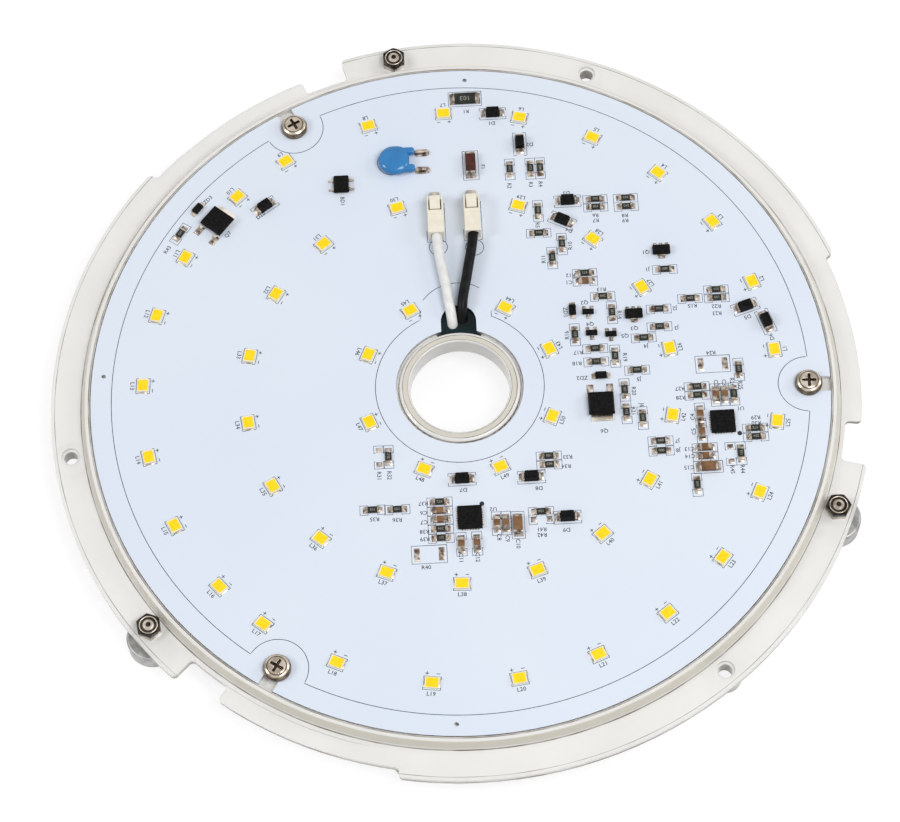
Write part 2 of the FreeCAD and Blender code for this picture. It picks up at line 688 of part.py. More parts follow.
cup = turned("magnet_cup_section", [
    ("Sizes.bolt_hole_radius", "0"),
    ("Sizes.magnet_radius - Sizes.magnet_edge", "0"),
    ("Sizes.magnet_radius", "0 - Sizes.magnet_edge"),
    ("Sizes.magnet_radius", "0 - Sizes.magnet_height"),
    ("Sizes.magnet_inner_radius", "0 - Sizes.magnet_height"),
    ("Sizes.magnet_inner_radius", "0 - Sizes.magnet_back"),
    ("Sizes.bolt_head_radius + Sizes.bolt_clearance", "0 - Sizes.magnet_back"),
    ("Sizes.bolt_hole_radius", "Sizes.bolt_head_flare - Sizes.magnet_back"),
])
ring_magnet = turned("magnet_ring_section", [
    ("Sizes.magnet_inner_radius - Sizes.magnet_ring_wall", "0 - Sizes.magnet_back"),
    ("Sizes.magnet_inner_radius", "0 - Sizes.magnet_back"),
    ("Sizes.magnet_inner_radius", "Sizes.magnet_ring_recess - Sizes.magnet_height"),
    ("Sizes.magnet_inner_radius - Sizes.magnet_ring_wall",
     "Sizes.magnet_ring_recess - Sizes.magnet_height"),
])

# Countersunk bolts, from inside the magnet up through the post to a nut on the flange
bolt = turned("magnet_bolt_section", [
    ("0", "0 - Sizes.magnet_back"),
    ("Sizes.bolt_head_radius", "0 - Sizes.magnet_back"),
    ("Sizes.bolt_radius", "Sizes.bolt_head_flare - Sizes.magnet_back"),
    ("Sizes.bolt_radius", "Sizes.bolt_end - Sizes.bolt_dimple"),
    ("Sizes.bolt_radius * 0.8", "Sizes.bolt_end"),
    ("Sizes.bolt_radius * 0.45", "Sizes.bolt_end"),
    ("0", "Sizes.bolt_end - Sizes.bolt_dimple"),
])
doc.recompute()
magnet_places = [on_ring(size("bolt_circle_radius"), size("nut_angle") + extra, size("post_bottom"))
                 for extra in THIRDS]
for number, place in enumerate(magnet_places, 1):
    copies(f"magnet_cup_{number}", cup.Shape, [place])
    copies(f"magnet_ring_{number}", ring_magnet.Shape, [place])
bolt_recess = cross_recess(size("bolt_recess_width"), size("bolt_recess_depth"), -size("magnet_back"))
copies("magnet_bolts", bolt.Shape.cut(bolt_recess), magnet_places)

# Hex nuts, chamfered at the top
nut_blank = bind(doc.addObject("Part::Prism", "nut_blank"),
                 Circumradius="Sizes.nut_across_flats / sqrt(3)", Height="Sizes.nut_height")
nut_blank.Polygon = 6
nut_cone = bind(doc.addObject("Part::Cone", "nut_cone"),
                Radius1="Sizes.nut_across_flats / 2 + Sizes.nut_height * 1.7",
                Radius2="Sizes.nut_across_flats / 2", Height="Sizes.nut_height")
nut_round = doc.addObject("Part::Common", "nut_round")
nut_round.Base = nut_blank
nut_round.Tool = nut_cone
nut = less("nut_master", nut_round, round_bar("nut_thread", "Sizes.bolt_radius", "Sizes.nut_height"))
doc.recompute()
copies("hex_nuts", nut.Shape,
       [on_ring(size("bolt_circle_radius"), size("nut_angle") + extra, size("plate_top"))
        .multiply(turned_to(0, 0, turn)) for extra, turn in zip(THIRDS, NUT_TURNS)])

# Light emitting diodes: a white housing with a shallow cup, and the cup's phosphor

cup_floor = size("led_height") - size("led_cup_depth")
cup_width = size("led_width") - 2 * size("led_wall")
cup_length = size("led_length") - 3 * size("led_wall")
led_housing = (box(0, 0, 0, size("led_width"), size("led_length"), size("led_height"))
               .cut(box(0, 0, cup_floor, cup_width, cup_length, size("led_cup_depth"))))
phosphor = box(0, 0, cup_floor, cup_width, cup_length, size("led_cup_depth") - size("led_recess"))

for title, ring in LED_RINGS.items():
    angles = [ring["first"] + k * ring["pitch"] + ring["shifts"].get(k, 0)
              for k in range(ring["count"]) if k not in ring["free"]]
    places = [on_ring(size(title + "_ring_radius"), angle, size("board_top")) for angle in angles]
    copies(f"led_housings_{title}", led_housing, places)
    copies(f"led_phosphors_{title}", phosphor, places)


# Chips: a ceramic body between two metal ends, each with its solder

def chip_end(length, width, height):
    """One metal end of a chip, with the solder that slopes from it to the board."""
    inner, outer, side = length / 2 - size("chip_end"), length / 2, -width / 2
    foot = outer + size("solder_reach")
    return prism([Vector(inner, side, 0), Vector(foot, side, 0), Vector(foot, side, size("solder_lip")),
                  Vector(outer, side, height), Vector(inner, side, height)], Vector(0, width, 0))


def chips(name, places, length, width, height):
    """Makes a node of chip bodies, and gives back the ends that go with them."""
    where = [on_board(*place) for place in places]
    copies(name, box(0, 0, 0, length - 2 * size("chip_end"), width, height), where)
    end = chip_end(length, width, height)
    return [moved(end, place.multiply(turned_to(0, 0, turn))) for place in where for turn in (0, 180)]


chip_length, chip_width = size("chip_length"), size("chip_width")
large_capacitor = [size("large_capacitor_" + key) for key in ("length", "width", "height")]
fuse = [size("fuse_" + key) for key in ("length", "width", "height")]
ends = chips("chip_resistors", RESISTORS, chip_length, chip_width, size("resistor_height"))
ends += chips("zero_ohm_links", LINKS, chip_length, chip_width, size("resistor_height"))
ends += chips("chip_capacitors", CAPACITORS, chip_length, chip_width, size("capacitor_height"))
ends += chips("large_capacitors", LARGE_CAPACITORS, *large_capacitor)
ends += chips("power_resistor", [POWER_RESISTOR], size("power_resistor_length"),
              size("power_resistor_width"), size("resistor_height"))
ends += chips("surface_fuse", [FUSE], *fuse)
feature("chip_ends", Part.makeCompound(ends))


# Packages with leads: a moulded body, and strips of metal that come out of it and step down

def moulded_body(length, width, height, foot):
    """A body that tapers above and below its mid height, from a foot above the board."""
    cut = size("package_taper") * min(length, width)
    rings = []
    for level, taper in ((foot, cut), (height / 2, 0), (height, cut)):
        a, b = (length - taper) / 2, (width - taper) / 2
        corners = [Vector(-a, -b, level), Vector(a, -b, level), Vector(a, b, level), Vector(-a, b, level)]
        rings.append(Part.makePolygon(corners + corners[:1]))
    return Part.makeLoft(rings, True, True)


def step_lead(root, reach, rise, width):
    """A lead along +X: out of the body at a height, down, and flat on the board."""
    strip, side = size("lead_strip"), -width / 2
    knee = root + reach * 0.35
    outline = [(root, rise), (root, rise - strip), (knee - strip, rise - strip), (knee - strip, 0),
               (root + reach, 0), (root + reach, strip), (knee, strip), (knee, rise)]
    return prism([Vector(x, side, z) for x, z in outline], Vector(0, width, 0))


def packaged(body_name, lead_name, places, body_shape, leads):
    """A node of moulded bodies and a node of their leads, each lead a shape with its place."""
    where = [on_board(*place) for place in places]
    copies(body_name, body_shape, where)
    copies(lead_name, Part.makeCompound([moved(shape, place) for shape, place in leads]), where)


standoff = size("package_standoff")
for title, places in (("diode", DIODES), ("small_diode", SMALL_DIODES)):
    length, width, height = (size(f"{title}_{key}") for key in ("length", "width", "height"))
    lead = step_lead(length / 2, size("diode_lead_reach"), height / 2, size("diode_lead_width"))
    packaged(title + "s", title + "_leads", places, moulded_body(length, width, height, standoff),
             [(lead, turned_to(0, 0, turn)) for turn in (0, 180)])

bridge_lead = step_lead(size("bridge_width") / 2, size("bridge_lead_reach"), size("bridge_height") / 2,
                        size("bridge_lead_width"))
packaged("bridge_rectifier", "bridge_leads", [BRIDGE],
         moulded_body(size("bridge_width"), size("bridge_length"), size("bridge_height"), standoff),
         [(bridge_lead, turned_to(0, 0, turn).multiply(turned_to(0, side * size("bridge_lead_pitch") / 2, 0)))
          for side in (-1, 1) for turn in (0, 180)])

# Power transistors: two outer legs in front, and a metal plate under the body that reaches out behind
root = size("mosfet_length") / 2
plate_width, plate_reach = size("mosfet_plate_width"), size("mosfet_plate_reach")
plate = box(0, (root + plate_reach) / 2, 0, plate_width, root + plate_reach, size("mosfet_plate"))
leg = step_lead(root, size("mosfet_lead_reach"), size("mosfet_height") / 2, size("mosfet_lead_width"))
for name, place in MOSFETS.items():
    packaged(name, name + "_leads", [place],
             moulded_body(size("mosfet_width"), size("mosfet_length"), size("mosfet_height"),
                          size("mosfet_plate")),
             [(leg, turned_to(side * size("mosfet_lead_pitch"), 0, -90)) for side in (-1, 1)]
             + [(plate, Placement())])

for title, places, sides, tab_width in (
        ("transistor", TRANSISTORS, (-1, 0, 1), size("transistor_tab_width")),
        ("small_transistor", SMALL_TRANSISTORS, (-1, 1), size("transistor_lead_width"))):
    width, length, height = (size(f"{title}_{key}") for key in ("width", "length", "height"))
    leg, tab = (step_lead(length / 2, size("transistor_lead_reach"), height / 2, wide)
                for wide in (size("transistor_lead_width"), tab_width))
    packaged(title + "s", title + "_leads", places, moulded_body(width, length, height, standoff),
             [(leg, turned_to(side * size(title + "_lead_pitch"), 0, -90)) for side in sides]
             + [(tab, turned_to(0, 0, 90))])

# Driver chips: flat square packages with a row of pads on each side
driver_side, pad_reach = size("driver_side"), size("driver_pad_reach")
pads = [(box((driver_side + pad_reach) / 2, size("driver_pad_pitch") * k, 0,
             pad_reach, size("driver_pad_width"), size("lead_strip")), turned_to(0, 0, turn))
        for turn in (0, 90, 180, 270) for k in range(-3, 4)]
for name, place in DRIVERS.items():
    packaged(name, name + "_pads", [place],
             box(0, 0, 0, driver_side, driver_side, size("driver_height")), pads)

# Varistor: a dipped disc that lies on the board, with two coated legs, and wires soldered flat

disc = round_bar("varistor_disc", "Sizes.varistor_radius", "Sizes.varistor_thickness",
                 "Sizes.varistor_x", "Sizes.varistor_y", "Sizes.board_top")
legs = [rounded("varistor_rounds", disc, [
    (size("varistor_radius"), size("board_top") + level, size("varistor_round"))
    for level in (0, size("varistor_thickness"))])]
joints = []
leg_tip = "Sizes.varistor_x + Sizes.varistor_radius + Sizes.varistor_leg_reach"
solder_start = f"{leg_tip} + Sizes.varistor_solder_width / 2"
solder_run = "(Sizes.varistor_solder_length - Sizes.varistor_solder_width)"
for number, side in enumerate((-1, 1), 1):
    y = f"Sizes.varistor_y + {side} * Sizes.varistor_lead_pitch / 2"
    z = "Sizes.board_top + Sizes.varistor_leg_radius"
    legs.append(lying_bar(f"varistor_leg_{number}", "Sizes.varistor_leg_radius",
                          "Sizes.varistor_radius + Sizes.varistor_leg_reach",
                          "Sizes.varistor_x", y, z, Vector(1, 0, 0)))
    joints.append(joined(f"varistor_joint_{number}", [
        lying_bar(f"varistor_wire_{number}", "Sizes.varistor_lead_radius",
                  f"{solder_run} + Sizes.varistor_solder_width / 2", leg_tip, y, z, Vector(1, 0, 0)),
        block(f"solder_middle_{number}", solder_run, "Sizes.varistor_solder_width",
              "Sizes.varistor_solder_height", solder_start, f"{y} - Sizes.varistor_solder_width / 2",
              "Sizes.board_top"),
        round_bar(f"solder_near_{number}", "Sizes.varistor_solder_width / 2",
                  "Sizes.varistor_solder_height", solder_start, y, "Sizes.board_top"),
        round_bar(f"solder_far_{number}", "Sizes.varistor_solder_width / 2",
                  "Sizes.varistor_solder_height", f"{solder_start} + {solder_run}", y, "Sizes.board_top"),
    ]))
node(joined("varistor_part", legs), "varistor")
node(joined("varistor_joints", joints), "varistor_leads")

# Terminal blocks: a pale housing with a wire mouth in front and a window over its release tongue,
# and a bent contact strip that touches the wire and ends in a solder tab behind

for title in ("neutral", "live"):
    middle = f"Sizes.{title}_block_x"
    shell = block(title + "_shell", "Sizes.block_width", "Sizes.block_length", "Sizes.block_height",
                  f"{middle} - Sizes.block_width / 2", "Sizes.block_front", "Sizes.board_top")
    lowering = block(title + "_low_roof", "Sizes.block_width", "Sizes.block_step_length",
                     "Sizes.block_step", f"{middle} - Sizes.block_width / 2", "Sizes.block_front",
                     "Sizes.block_roof - Sizes.block_step")
    mouth = lying_bar(title + "_mouth", "Sizes.lead_diameter / 2 + Sizes.lead_clearance",
                      "Sizes.block_mouth_depth", middle, "Sizes.block_front", "Sizes.wire_level",
                      Vector(0, 1, 0))
    passage = lying_bar(title + "_passage", "Sizes.bare_wire_diameter / 2 + Sizes.lead_clearance",
                        "Sizes.block_mouth_depth + Sizes.bare_wire_in_block", middle,
                        "Sizes.block_front", "Sizes.wire_level", Vector(0, 1, 0))
    window = block(title + "_window", "Sizes.block_window_width", "Sizes.block_window_length",
                   "Sizes.block_window_depth", f"{middle} - Sizes.block_window_width / 2",
                   "Sizes.block_tail - Sizes.block_window_length",
                   "Sizes.block_roof - Sizes.block_window_depth")
    hollow = block(title + "_hollow", "Sizes.contact_width + 2 * Sizes.contact_clearance",
                   "Sizes.block_tail - Sizes.contact_start", "Sizes.contact_top",
                   f"{middle} - Sizes.contact_width / 2 - Sizes.contact_clearance",
                   "Sizes.contact_start", "Sizes.board_top")
    tongue = block(title + "_tongue", "Sizes.block_window_width - 2 * Sizes.block_window_gap",
                   "Sizes.block_window_length - Sizes.block_window_gap", "Sizes.block_window_depth",
                   f"{middle} - Sizes.block_window_width / 2 + Sizes.block_window_gap",
                   "Sizes.block_tail - Sizes.block_window_length + Sizes.block_window_gap",
                   "Sizes.block_roof - Sizes.block_window_depth")
    opened = less(title + "_opened", shell,
                  joined(title + "_cuts", [lowering, mouth, passage, window, hollow]))
    node(joined(title + "_housing", [opened, tongue]), title + "_terminal_block")

    side = f"{middle} - Sizes.contact_width / 2"
    shelf_end = "Sizes.contact_start + Sizes.contact_shelf"
    shelf = block(title + "_shelf", "Sizes.contact_width", "Sizes.contact_shelf", "Sizes.contact_thickness",
                  side, "Sizes.contact_start", "Sizes.board_top + Sizes.contact_top - Sizes.contact_thickness")
    riser = block(title + "_riser", "Sizes.contact_width", "Sizes.contact_thickness", "Sizes.contact_top",
                  side, f"{shelf_end} - Sizes.contact_thickness", "Sizes.board_top")
    foot = block(title + "_foot", "Sizes.contact_width",
                 f"Sizes.block_tail + Sizes.contact_reach - ({shelf_end})", "Sizes.contact_thickness",
                 side, shelf_end, "Sizes.board_top")
    node(joined(title + "_strip", [shelf, riser, foot]), title + "_contact")

doc.recompute()

# Every object has to be sound before a file is written
for item in doc.Objects:
    if "Invalid" in item.State or "Error" in item.State:
        raise RuntimeError(f"{item.Name} failed: {item.State}")
for name, item in NODES.items():
    if item.Shape.isNull() or not item.Shape.isValid() or not item.Shape.Solids:
        raise RuntimeError(f"{name} has no sound solid")

os.makedirs("parts", exist_ok=True)
for name, item in NODES.items():
    item.Shape.exportStep(f"parts/{name}.step")
    print(f"{name}: {len(item.Shape.Solids)} solids, {item.Shape.Volume:.1f} cubic mm")
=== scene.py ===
import json
import math

import bmesh
import bpy
from mathutils import Matrix, Vector


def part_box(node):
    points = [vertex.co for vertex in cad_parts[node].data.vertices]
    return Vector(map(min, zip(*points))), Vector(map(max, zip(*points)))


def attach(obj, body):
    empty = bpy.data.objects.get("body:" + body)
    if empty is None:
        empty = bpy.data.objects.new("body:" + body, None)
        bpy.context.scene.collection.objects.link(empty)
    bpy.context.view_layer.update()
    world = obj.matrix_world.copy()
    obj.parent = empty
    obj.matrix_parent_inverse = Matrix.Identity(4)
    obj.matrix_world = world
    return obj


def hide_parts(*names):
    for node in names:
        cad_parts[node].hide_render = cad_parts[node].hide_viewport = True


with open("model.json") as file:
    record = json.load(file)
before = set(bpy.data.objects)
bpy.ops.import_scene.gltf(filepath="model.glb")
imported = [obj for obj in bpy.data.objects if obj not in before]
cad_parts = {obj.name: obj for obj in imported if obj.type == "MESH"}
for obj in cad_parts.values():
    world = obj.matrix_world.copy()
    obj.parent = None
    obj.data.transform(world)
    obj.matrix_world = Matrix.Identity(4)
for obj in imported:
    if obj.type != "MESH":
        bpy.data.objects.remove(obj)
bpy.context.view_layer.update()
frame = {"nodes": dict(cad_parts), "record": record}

bpy.ops.object.select_all(action="DESELECT")

# Studio: a white floor and background, a large soft lamp overhead, a smaller one on the left, and
# a camera at the photograph's height, angle and roll, with the focal length that fits its rings.
MM = 0.001
FOCAL_PIXELS, PHOTO_WIDTH = 3014.7, 900
ELEVATION, ROLL = math.radians(64.12), math.radians(-3.044)
CAMERA_PLACE = Vector((-2.77, -332.8, 676.475)) * MM
FLOOR_LEVEL = -7.8 * MM

camera = bpy.data.objects.new("camera", bpy.data.cameras.new("camera"))
camera.data.sensor_width = 36
camera.data.lens = camera.data.sensor_width * FOCAL_PIXELS / PHOTO_WIDTH
backward = Vector((0, -math.cos(ELEVATION), math.sin(ELEVATION)))
sideways = Vector((1, 0, 0))
upward = backward.cross(sideways)
camera.matrix_world = Matrix((
    math.cos(ROLL) * sideways + math.sin(ROLL) * upward,
    math.cos(ROLL) * upward - math.sin(ROLL) * sideways,
    backward)).transposed().to_4x4()
camera.matrix_world.translation = CAMERA_PLACE
bpy.context.collection.objects.link(camera)
bpy.context.scene.camera = camera
bpy.context.scene.view_settings.view_transform = "Standard"


class Link:
    """A socket of a shader node. Arithmetic on links adds Math nodes to their tree."""

    def __init__(self, tree, socket):
        self.tree, self.socket = tree, socket

    def maths(self, operation, *values):
        return node(self.tree, "ShaderNodeMath", dict(enumerate(values)), operation=operation)

    def __add__(self, other):
        return self.maths("ADD", self, other)

    def __rsub__(self, other):
        return self.maths("SUBTRACT", other, self)

    def __mul__(self, other):
        return self.maths("MULTIPLY", self, other)

    def __gt__(self, other):
        return self.maths("GREATER_THAN", self, other)

    def __lt__(self, other):
        return self.maths("LESS_THAN", self, other)

    __radd__, __rmul__ = __add__, __mul__

    def near(self, middle, reach):
        """1 within a reach of a middle, and 0 beyond."""
        return self.maths("COMPARE", self, middle, reach)

    def ramp(self, low, high):
        """0 below low, 1 above high, and smooth between them."""
        return node(self.tree, "ShaderNodeMapRange", {0: self, 1: low, 2: high},
                    interpolation_type="SMOOTHSTEP")


def node(tree, kind, sockets, out=0, **settings):
    """Adds a node: first its settings, then the values or links of its sockets."""
    made = tree.nodes.new(kind)
    for name, setting in settings.items():
        setattr(made, name, setting)
    for key, content in sockets.items():
        if isinstance(content, Link):
            tree.links.new(content.socket, made.inputs[key])
        else:
            made.inputs[key].default_value = content
    return Link(tree, made.outputs[out])


def mixed(tree, factor, first, second):
    """One colour where the factor is 0 and the other where it is 1."""
    return node(tree, "ShaderNodeMix", {0: factor, 6: first, 7: second}, out=2, data_type="RGBA")


def seen_or_lit(tree, seen, lit):
    """What camera, glossy and transmission rays meet, and what lights the object."""
    path = tree.nodes.new("ShaderNodeLightPath")
    flags = [Link(tree, path.outputs[name])
             for name in ("Is Camera Ray", "Is Glossy Ray", "Is Transmission Ray")]
    return node(tree, "ShaderNodeMixShader", {0: (flags[0] + flags[1] + flags[2]) > 0.5, 1: lit, 2: seen})


world = bpy.data.worlds.new("studio")
bpy.context.scene.world = world
world.use_nodes = True
sky = world.node_tree
sky.nodes.clear()
studio_white = node(sky, "ShaderNodeBackground", {"Color": (1, 1, 1, 1), "Strength": 1.0})
studio_light = node(sky, "ShaderNodeBackground", {"Color": (1, 1, 1, 1), "Strength": 0.42})
surround = seen_or_lit(sky, studio_white, studio_light)
sky.links.new(surround.socket, sky.nodes.new("ShaderNodeOutputWorld").inputs[0])


def softbox(name, place, side, watts):
    """A square soft lamp that faces the object."""
    lamp = bpy.data.objects.new(name, bpy.data.lights.new(name, "AREA"))
    lamp.data.size = side
    lamp.data.energy = watts
    lamp.location = place
    lamp.rotation_euler = Vector(place).to_track_quat("Z", "Y").to_euler()
    bpy.context.collection.objects.link(lamp)


softbox("overhead_lamp", (0.45, -0.35, 1.1), 0.6, 7.0)
softbox("left_lamp", (-0.9, -0.1, 0.8), 0.4, 3.5)
softbox("right_lamp", (1.0, 0.2, 0.6), 0.35, 2.0)

bpy.ops.mesh.primitive_plane_add(size=6, location=(0, 0, FLOOR_LEVEL))
floor = bpy.context.object
floor.name = "floor"
floor_paint = bpy.data.materials.new("white_floor")
floor_paint.use_nodes = True
paper = floor_paint.node_tree
paper.nodes.clear()
paper_white = node(paper, "ShaderNodeEmission", {"Color": (1, 1, 1, 1), "Strength": 0.80})
paper_shade = node(paper, "ShaderNodeBsdfDiffuse", {"Color": (0.26, 0.26, 0.26, 1)})
paper_seen = node(paper, "ShaderNodeAddShader", {0: paper_white, 1: paper_shade})
paper_lit = node(paper, "ShaderNodeBsdfDiffuse", {"Color": (0.85, 0.85, 0.85, 1)})
paper_surface = seen_or_lit(paper, paper_seen, paper_lit)
paper.links.new(paper_surface.socket, paper.nodes.new("ShaderNodeOutputMaterial").inputs[0])
floor.data.materials.append(floor_paint)

# Carrier: the clear moulding that holds everything. It is injection moulded in one piece from
# polycarbonate, so that its edges are softly rounded and its faces have a fine ripple.


def principled(name, sockets):
    """A material with one Principled shader; its sockets come from a function of the tree."""
    material = bpy.data.materials.new(name)
    material.use_nodes = True
    tree = material.node_tree
    tree.nodes.clear()
    shader = node(tree, "ShaderNodeBsdfPrincipled", sockets(tree))
    tree.links.new(shader.socket, tree.nodes.new("ShaderNodeOutputMaterial").inputs[0])
    return material


def grain(tree, scale, detail=2.0, stretch=(1, 1, 1)):
    """Noise from 0 to 1 that follows the object, with its scale in waves per metre."""
    place = node(tree, "ShaderNodeMapping",
                 {0: node(tree, "ShaderNodeTexCoord", {}, out=3), 3: stretch})
    return node(tree, "ShaderNodeTexNoise", {"Vector": place, "Scale": scale, "Detail": detail})


def height_in(tree):
    """The height in the object, in metres."""
    place = node(tree, "ShaderNodeTexCoord", {}, out=3)
    return node(tree, "ShaderNodeSeparateXYZ", {0: place}, out=2)


def facing_up(tree):
    """How far a face looks up: 1 on top, 0 on a wall and -1 below."""
    normal = node(tree, "ShaderNodeNewGeometry", {}, out=1)
    return node(tree, "ShaderNodeSeparateXYZ", {0: normal}, out=2)


def bump(tree, height, distance, strength=1.0):
    return node(tree, "ShaderNodeBump", {"Height": height, "Distance": distance, "Strength": strength})


def select_only(piece):
    bpy.ops.object.select_all(action="DESELECT")
    piece.select_set(True)
    bpy.context.view_layer.objects.active = piece


def finish_piece(piece, name, material, slot):
    """Names a piece, gives it its one material, and fixes it to the part."""
    piece.name = piece.data.name = name
    piece.data.materials.clear()
    piece.data.materials.append(material)
    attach(piece, "root")
    return piece


WELD = 0.002 * MM


def merged_copy(name):
    """A copy of a CAD node with its corners merged and its flat faces whole."""
    source = frame["nodes"][name]
    piece = source.copy()
    piece.data = source.data.copy()
    piece.parent = None
    piece.matrix_world = Matrix()
    bpy.context.collection.objects.link(piece)
    select_only(piece)
    bpy.ops.object.mode_set(mode="EDIT")
    bpy.ops.mesh.select_all(action="SELECT")
    bpy.ops.mesh.remove_doubles(threshold=WELD)
    bpy.ops.mesh.dissolve_limited(angle_limit=math.radians(0.6))
    bpy.ops.object.mode_set(mode="OBJECT")
    if piece.data.has_custom_normals:
        bpy.ops.mesh.customdata_custom_splitnormals_clear()
    return piece


def round_edges(piece, width, segments=2, angle=30):
    """Rounds the sharp edges of a piece and shades it smoothly up to them."""
    select_only(piece)
    edge = piece.modifiers.new("rounding", "BEVEL")
    edge.width = width * MM
    edge.segments = segments
    edge.limit_method = "ANGLE"
    edge.angle_limit = math.radians(angle)
    edge.miter_outer = "MITER_ARC"
    bpy.ops.object.modifier_apply(modifier=edge.name)
    bpy.ops.object.shade_smooth_by_angle(angle=math.radians(40))
    even = piece.modifiers.new("even_normals", "WEIGHTED_NORMAL")
    even.keep_sharp = True
    bpy.ops.object.modifier_apply(modifier=even.name)
    return piece


def dress(name, width, material, segments=2):
    """Replaces a CAD node by a copy with rounded edges and a material."""
    piece = round_edges(merged_copy(name), width, segments)
    slot = next(s["material_slot"] for s in frame["record"]["subparts"] if s["node"] == name)
    finish_piece(piece, name + "_piece", material, slot)
    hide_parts(name)
    return piece


CORNER_RADIUS, CORNERS_BEYOND = 1.3, 94.8
# Painted shade lines and painted refraction bands on the carrier: radius and half width in millimetres.
PAINTED_SHADE_LINES = ((15.2, 0.08), (14.3, 0.10), (13.0, 0.07), (92.5, 0.15), (94.7, 0.12), (101.3, 0.07))
PAINTED_REFRACTION_BANDS = ((13.65, 0.55), (93.9, 0.5))
FLANGE_START, WALL_FOOT = 94.9, 1.0


def clear_sockets(tree):
    """Cloudy white, with painted shade as brown lines at the edges and painted refraction as beige bands
    where light runs inside the walls.
    """
    up = facing_up(tree)
    level = up.maths("ABSOLUTE", up)
    place = node(tree, "ShaderNodeTexCoord", {}, out=3)
    flat_place = node(tree, "ShaderNodeVectorMath", {0: place, 1: (1, 1, 0)}, operation="MULTIPLY")
    radius = node(tree, "ShaderNodeVectorMath", {0: flat_place}, out=1, operation="LENGTH")
    height = height_in(tree)
    on_flange = radius > FLANGE_START * MM
    cloud = grain(tree, 45, 3).ramp(0.3, 0.7)
    colour = mixed(tree, cloud, (0.92, 0.91, 0.88, 1), (0.97, 0.96, 0.94, 1))
    # Painted shade lines also run along the flange's bevels and the feet of its walls.
    bands, lines = 0, on_flange * (level.near(0.55, 0.35) + (level < 0.3) * (height < WALL_FOOT * MM))
    for middle, reach in PAINTED_REFRACTION_BANDS:
        bands = radius.near(middle * MM, reach * MM) + bands
    for middle, reach in PAINTED_SHADE_LINES:
        lines = radius.near(middle * MM, reach * MM) + lines
    # Painted refraction: beige bands where the walls bend the light.
    colour = mixed(tree, bands > 0.5, colour, (0.80, 0.755, 0.66, 1))
    streaks = grain(tree, 120, 3).ramp(0.35, 0.65) * 0.5 + 0.5
    # Painted shade: brown lines, broken by streaks.
    colour = mixed(tree, (lines > 0.5) * streaks, colour, (0.22, 0.175, 0.125, 1))
    return {"Base Color": colour, "Transmission Weight": 0.25, "IOR": 1.5,
            "Roughness": cloud * 0.08 + 0.10,
            "Normal": bump(tree, grain(tree, 90, 2), 0.06 * MM, 0.35)}


clear_plastic = principled("clear_polycarbonate", clear_sockets)
carrier = merged_copy("carrier")
shell = bmesh.new()
shell.from_mesh(carrier.data)
corners = []
for edge in shell.edges:
    run = edge.verts[1].co - edge.verts[0].co
    outside = edge.verts[0].co.xy.length > CORNERS_BEYOND * MM
    upright = run.xy.length < 0.01 * MM and abs(run.z) > 0.8 * MM
    if outside and upright and len(edge.link_faces) == 2 and edge.calc_face_angle() > 0.9:
        corners.append(edge)
bmesh.ops.bevel(shell, geom=corners, offset=CORNER_RADIUS * MM, segments=5, profile=0.5,
                affect="EDGES", clamp_overlap=True)
shell.to_mesh(carrier.data)
shell.free()
finish_piece(round_edges(carrier, 0.36), "carrier_piece", clear_plastic, "clear_plastic")
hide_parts("carrier")

# Circuit board: an aluminium disc with a white reflective coating on its face and a bare, brushed
# underside and edge.
BOARD_TOP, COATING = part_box("circuit_board")[1][2], 0.06


def board_sockets(tree):
    coated = height_in(tree) > BOARD_TOP - COATING * MM
    mottle = grain(tree, 14, 2).ramp(0.3, 0.7)
    coating = mixed(tree, mottle, (0.70, 0.765, 0.87, 1), (0.73, 0.79, 0.885, 1))
    brushed = grain(tree, 900, 3, (1, 0.03, 1))
    metal = mixed(tree, brushed.ramp(0.3, 0.7), (0.62, 0.62, 0.63, 1), (0.75, 0.75, 0.76, 1))
    skin = grain(tree, 1500, 2)
    return {"Base Color": mixed(tree, coated, metal, coating), "Metallic": 1 - coated,
            "Roughness": coated * 0.12 + brushed * 0.1 + 0.3,
            "Normal": bump(tree, skin * coated + brushed * (1 - coated), 0.01 * MM, 0.5)}


board_coating = principled("coated_aluminium", board_sockets)
dress("circuit_board", 0.08, board_coating)

# Light emitting diodes: a cream package with a shallow cup, yellow phosphor resin in the cup, and
# two tinned tabs that stand out at its ends on solder.
LED_LENGTH, LED_WIDTH, LED_HEIGHT = 3.5, 2.8, 0.75
CUP_WALL, CUP_DEPTH, TAB_OUT = 0.17, 0.4, 0.08
LED_RINGS = ("outer", "middle", "inner")
LEVEL_RUN, SHORTEST_SIDE, SAME_AREA = 0.01, 0.3, 1e-12


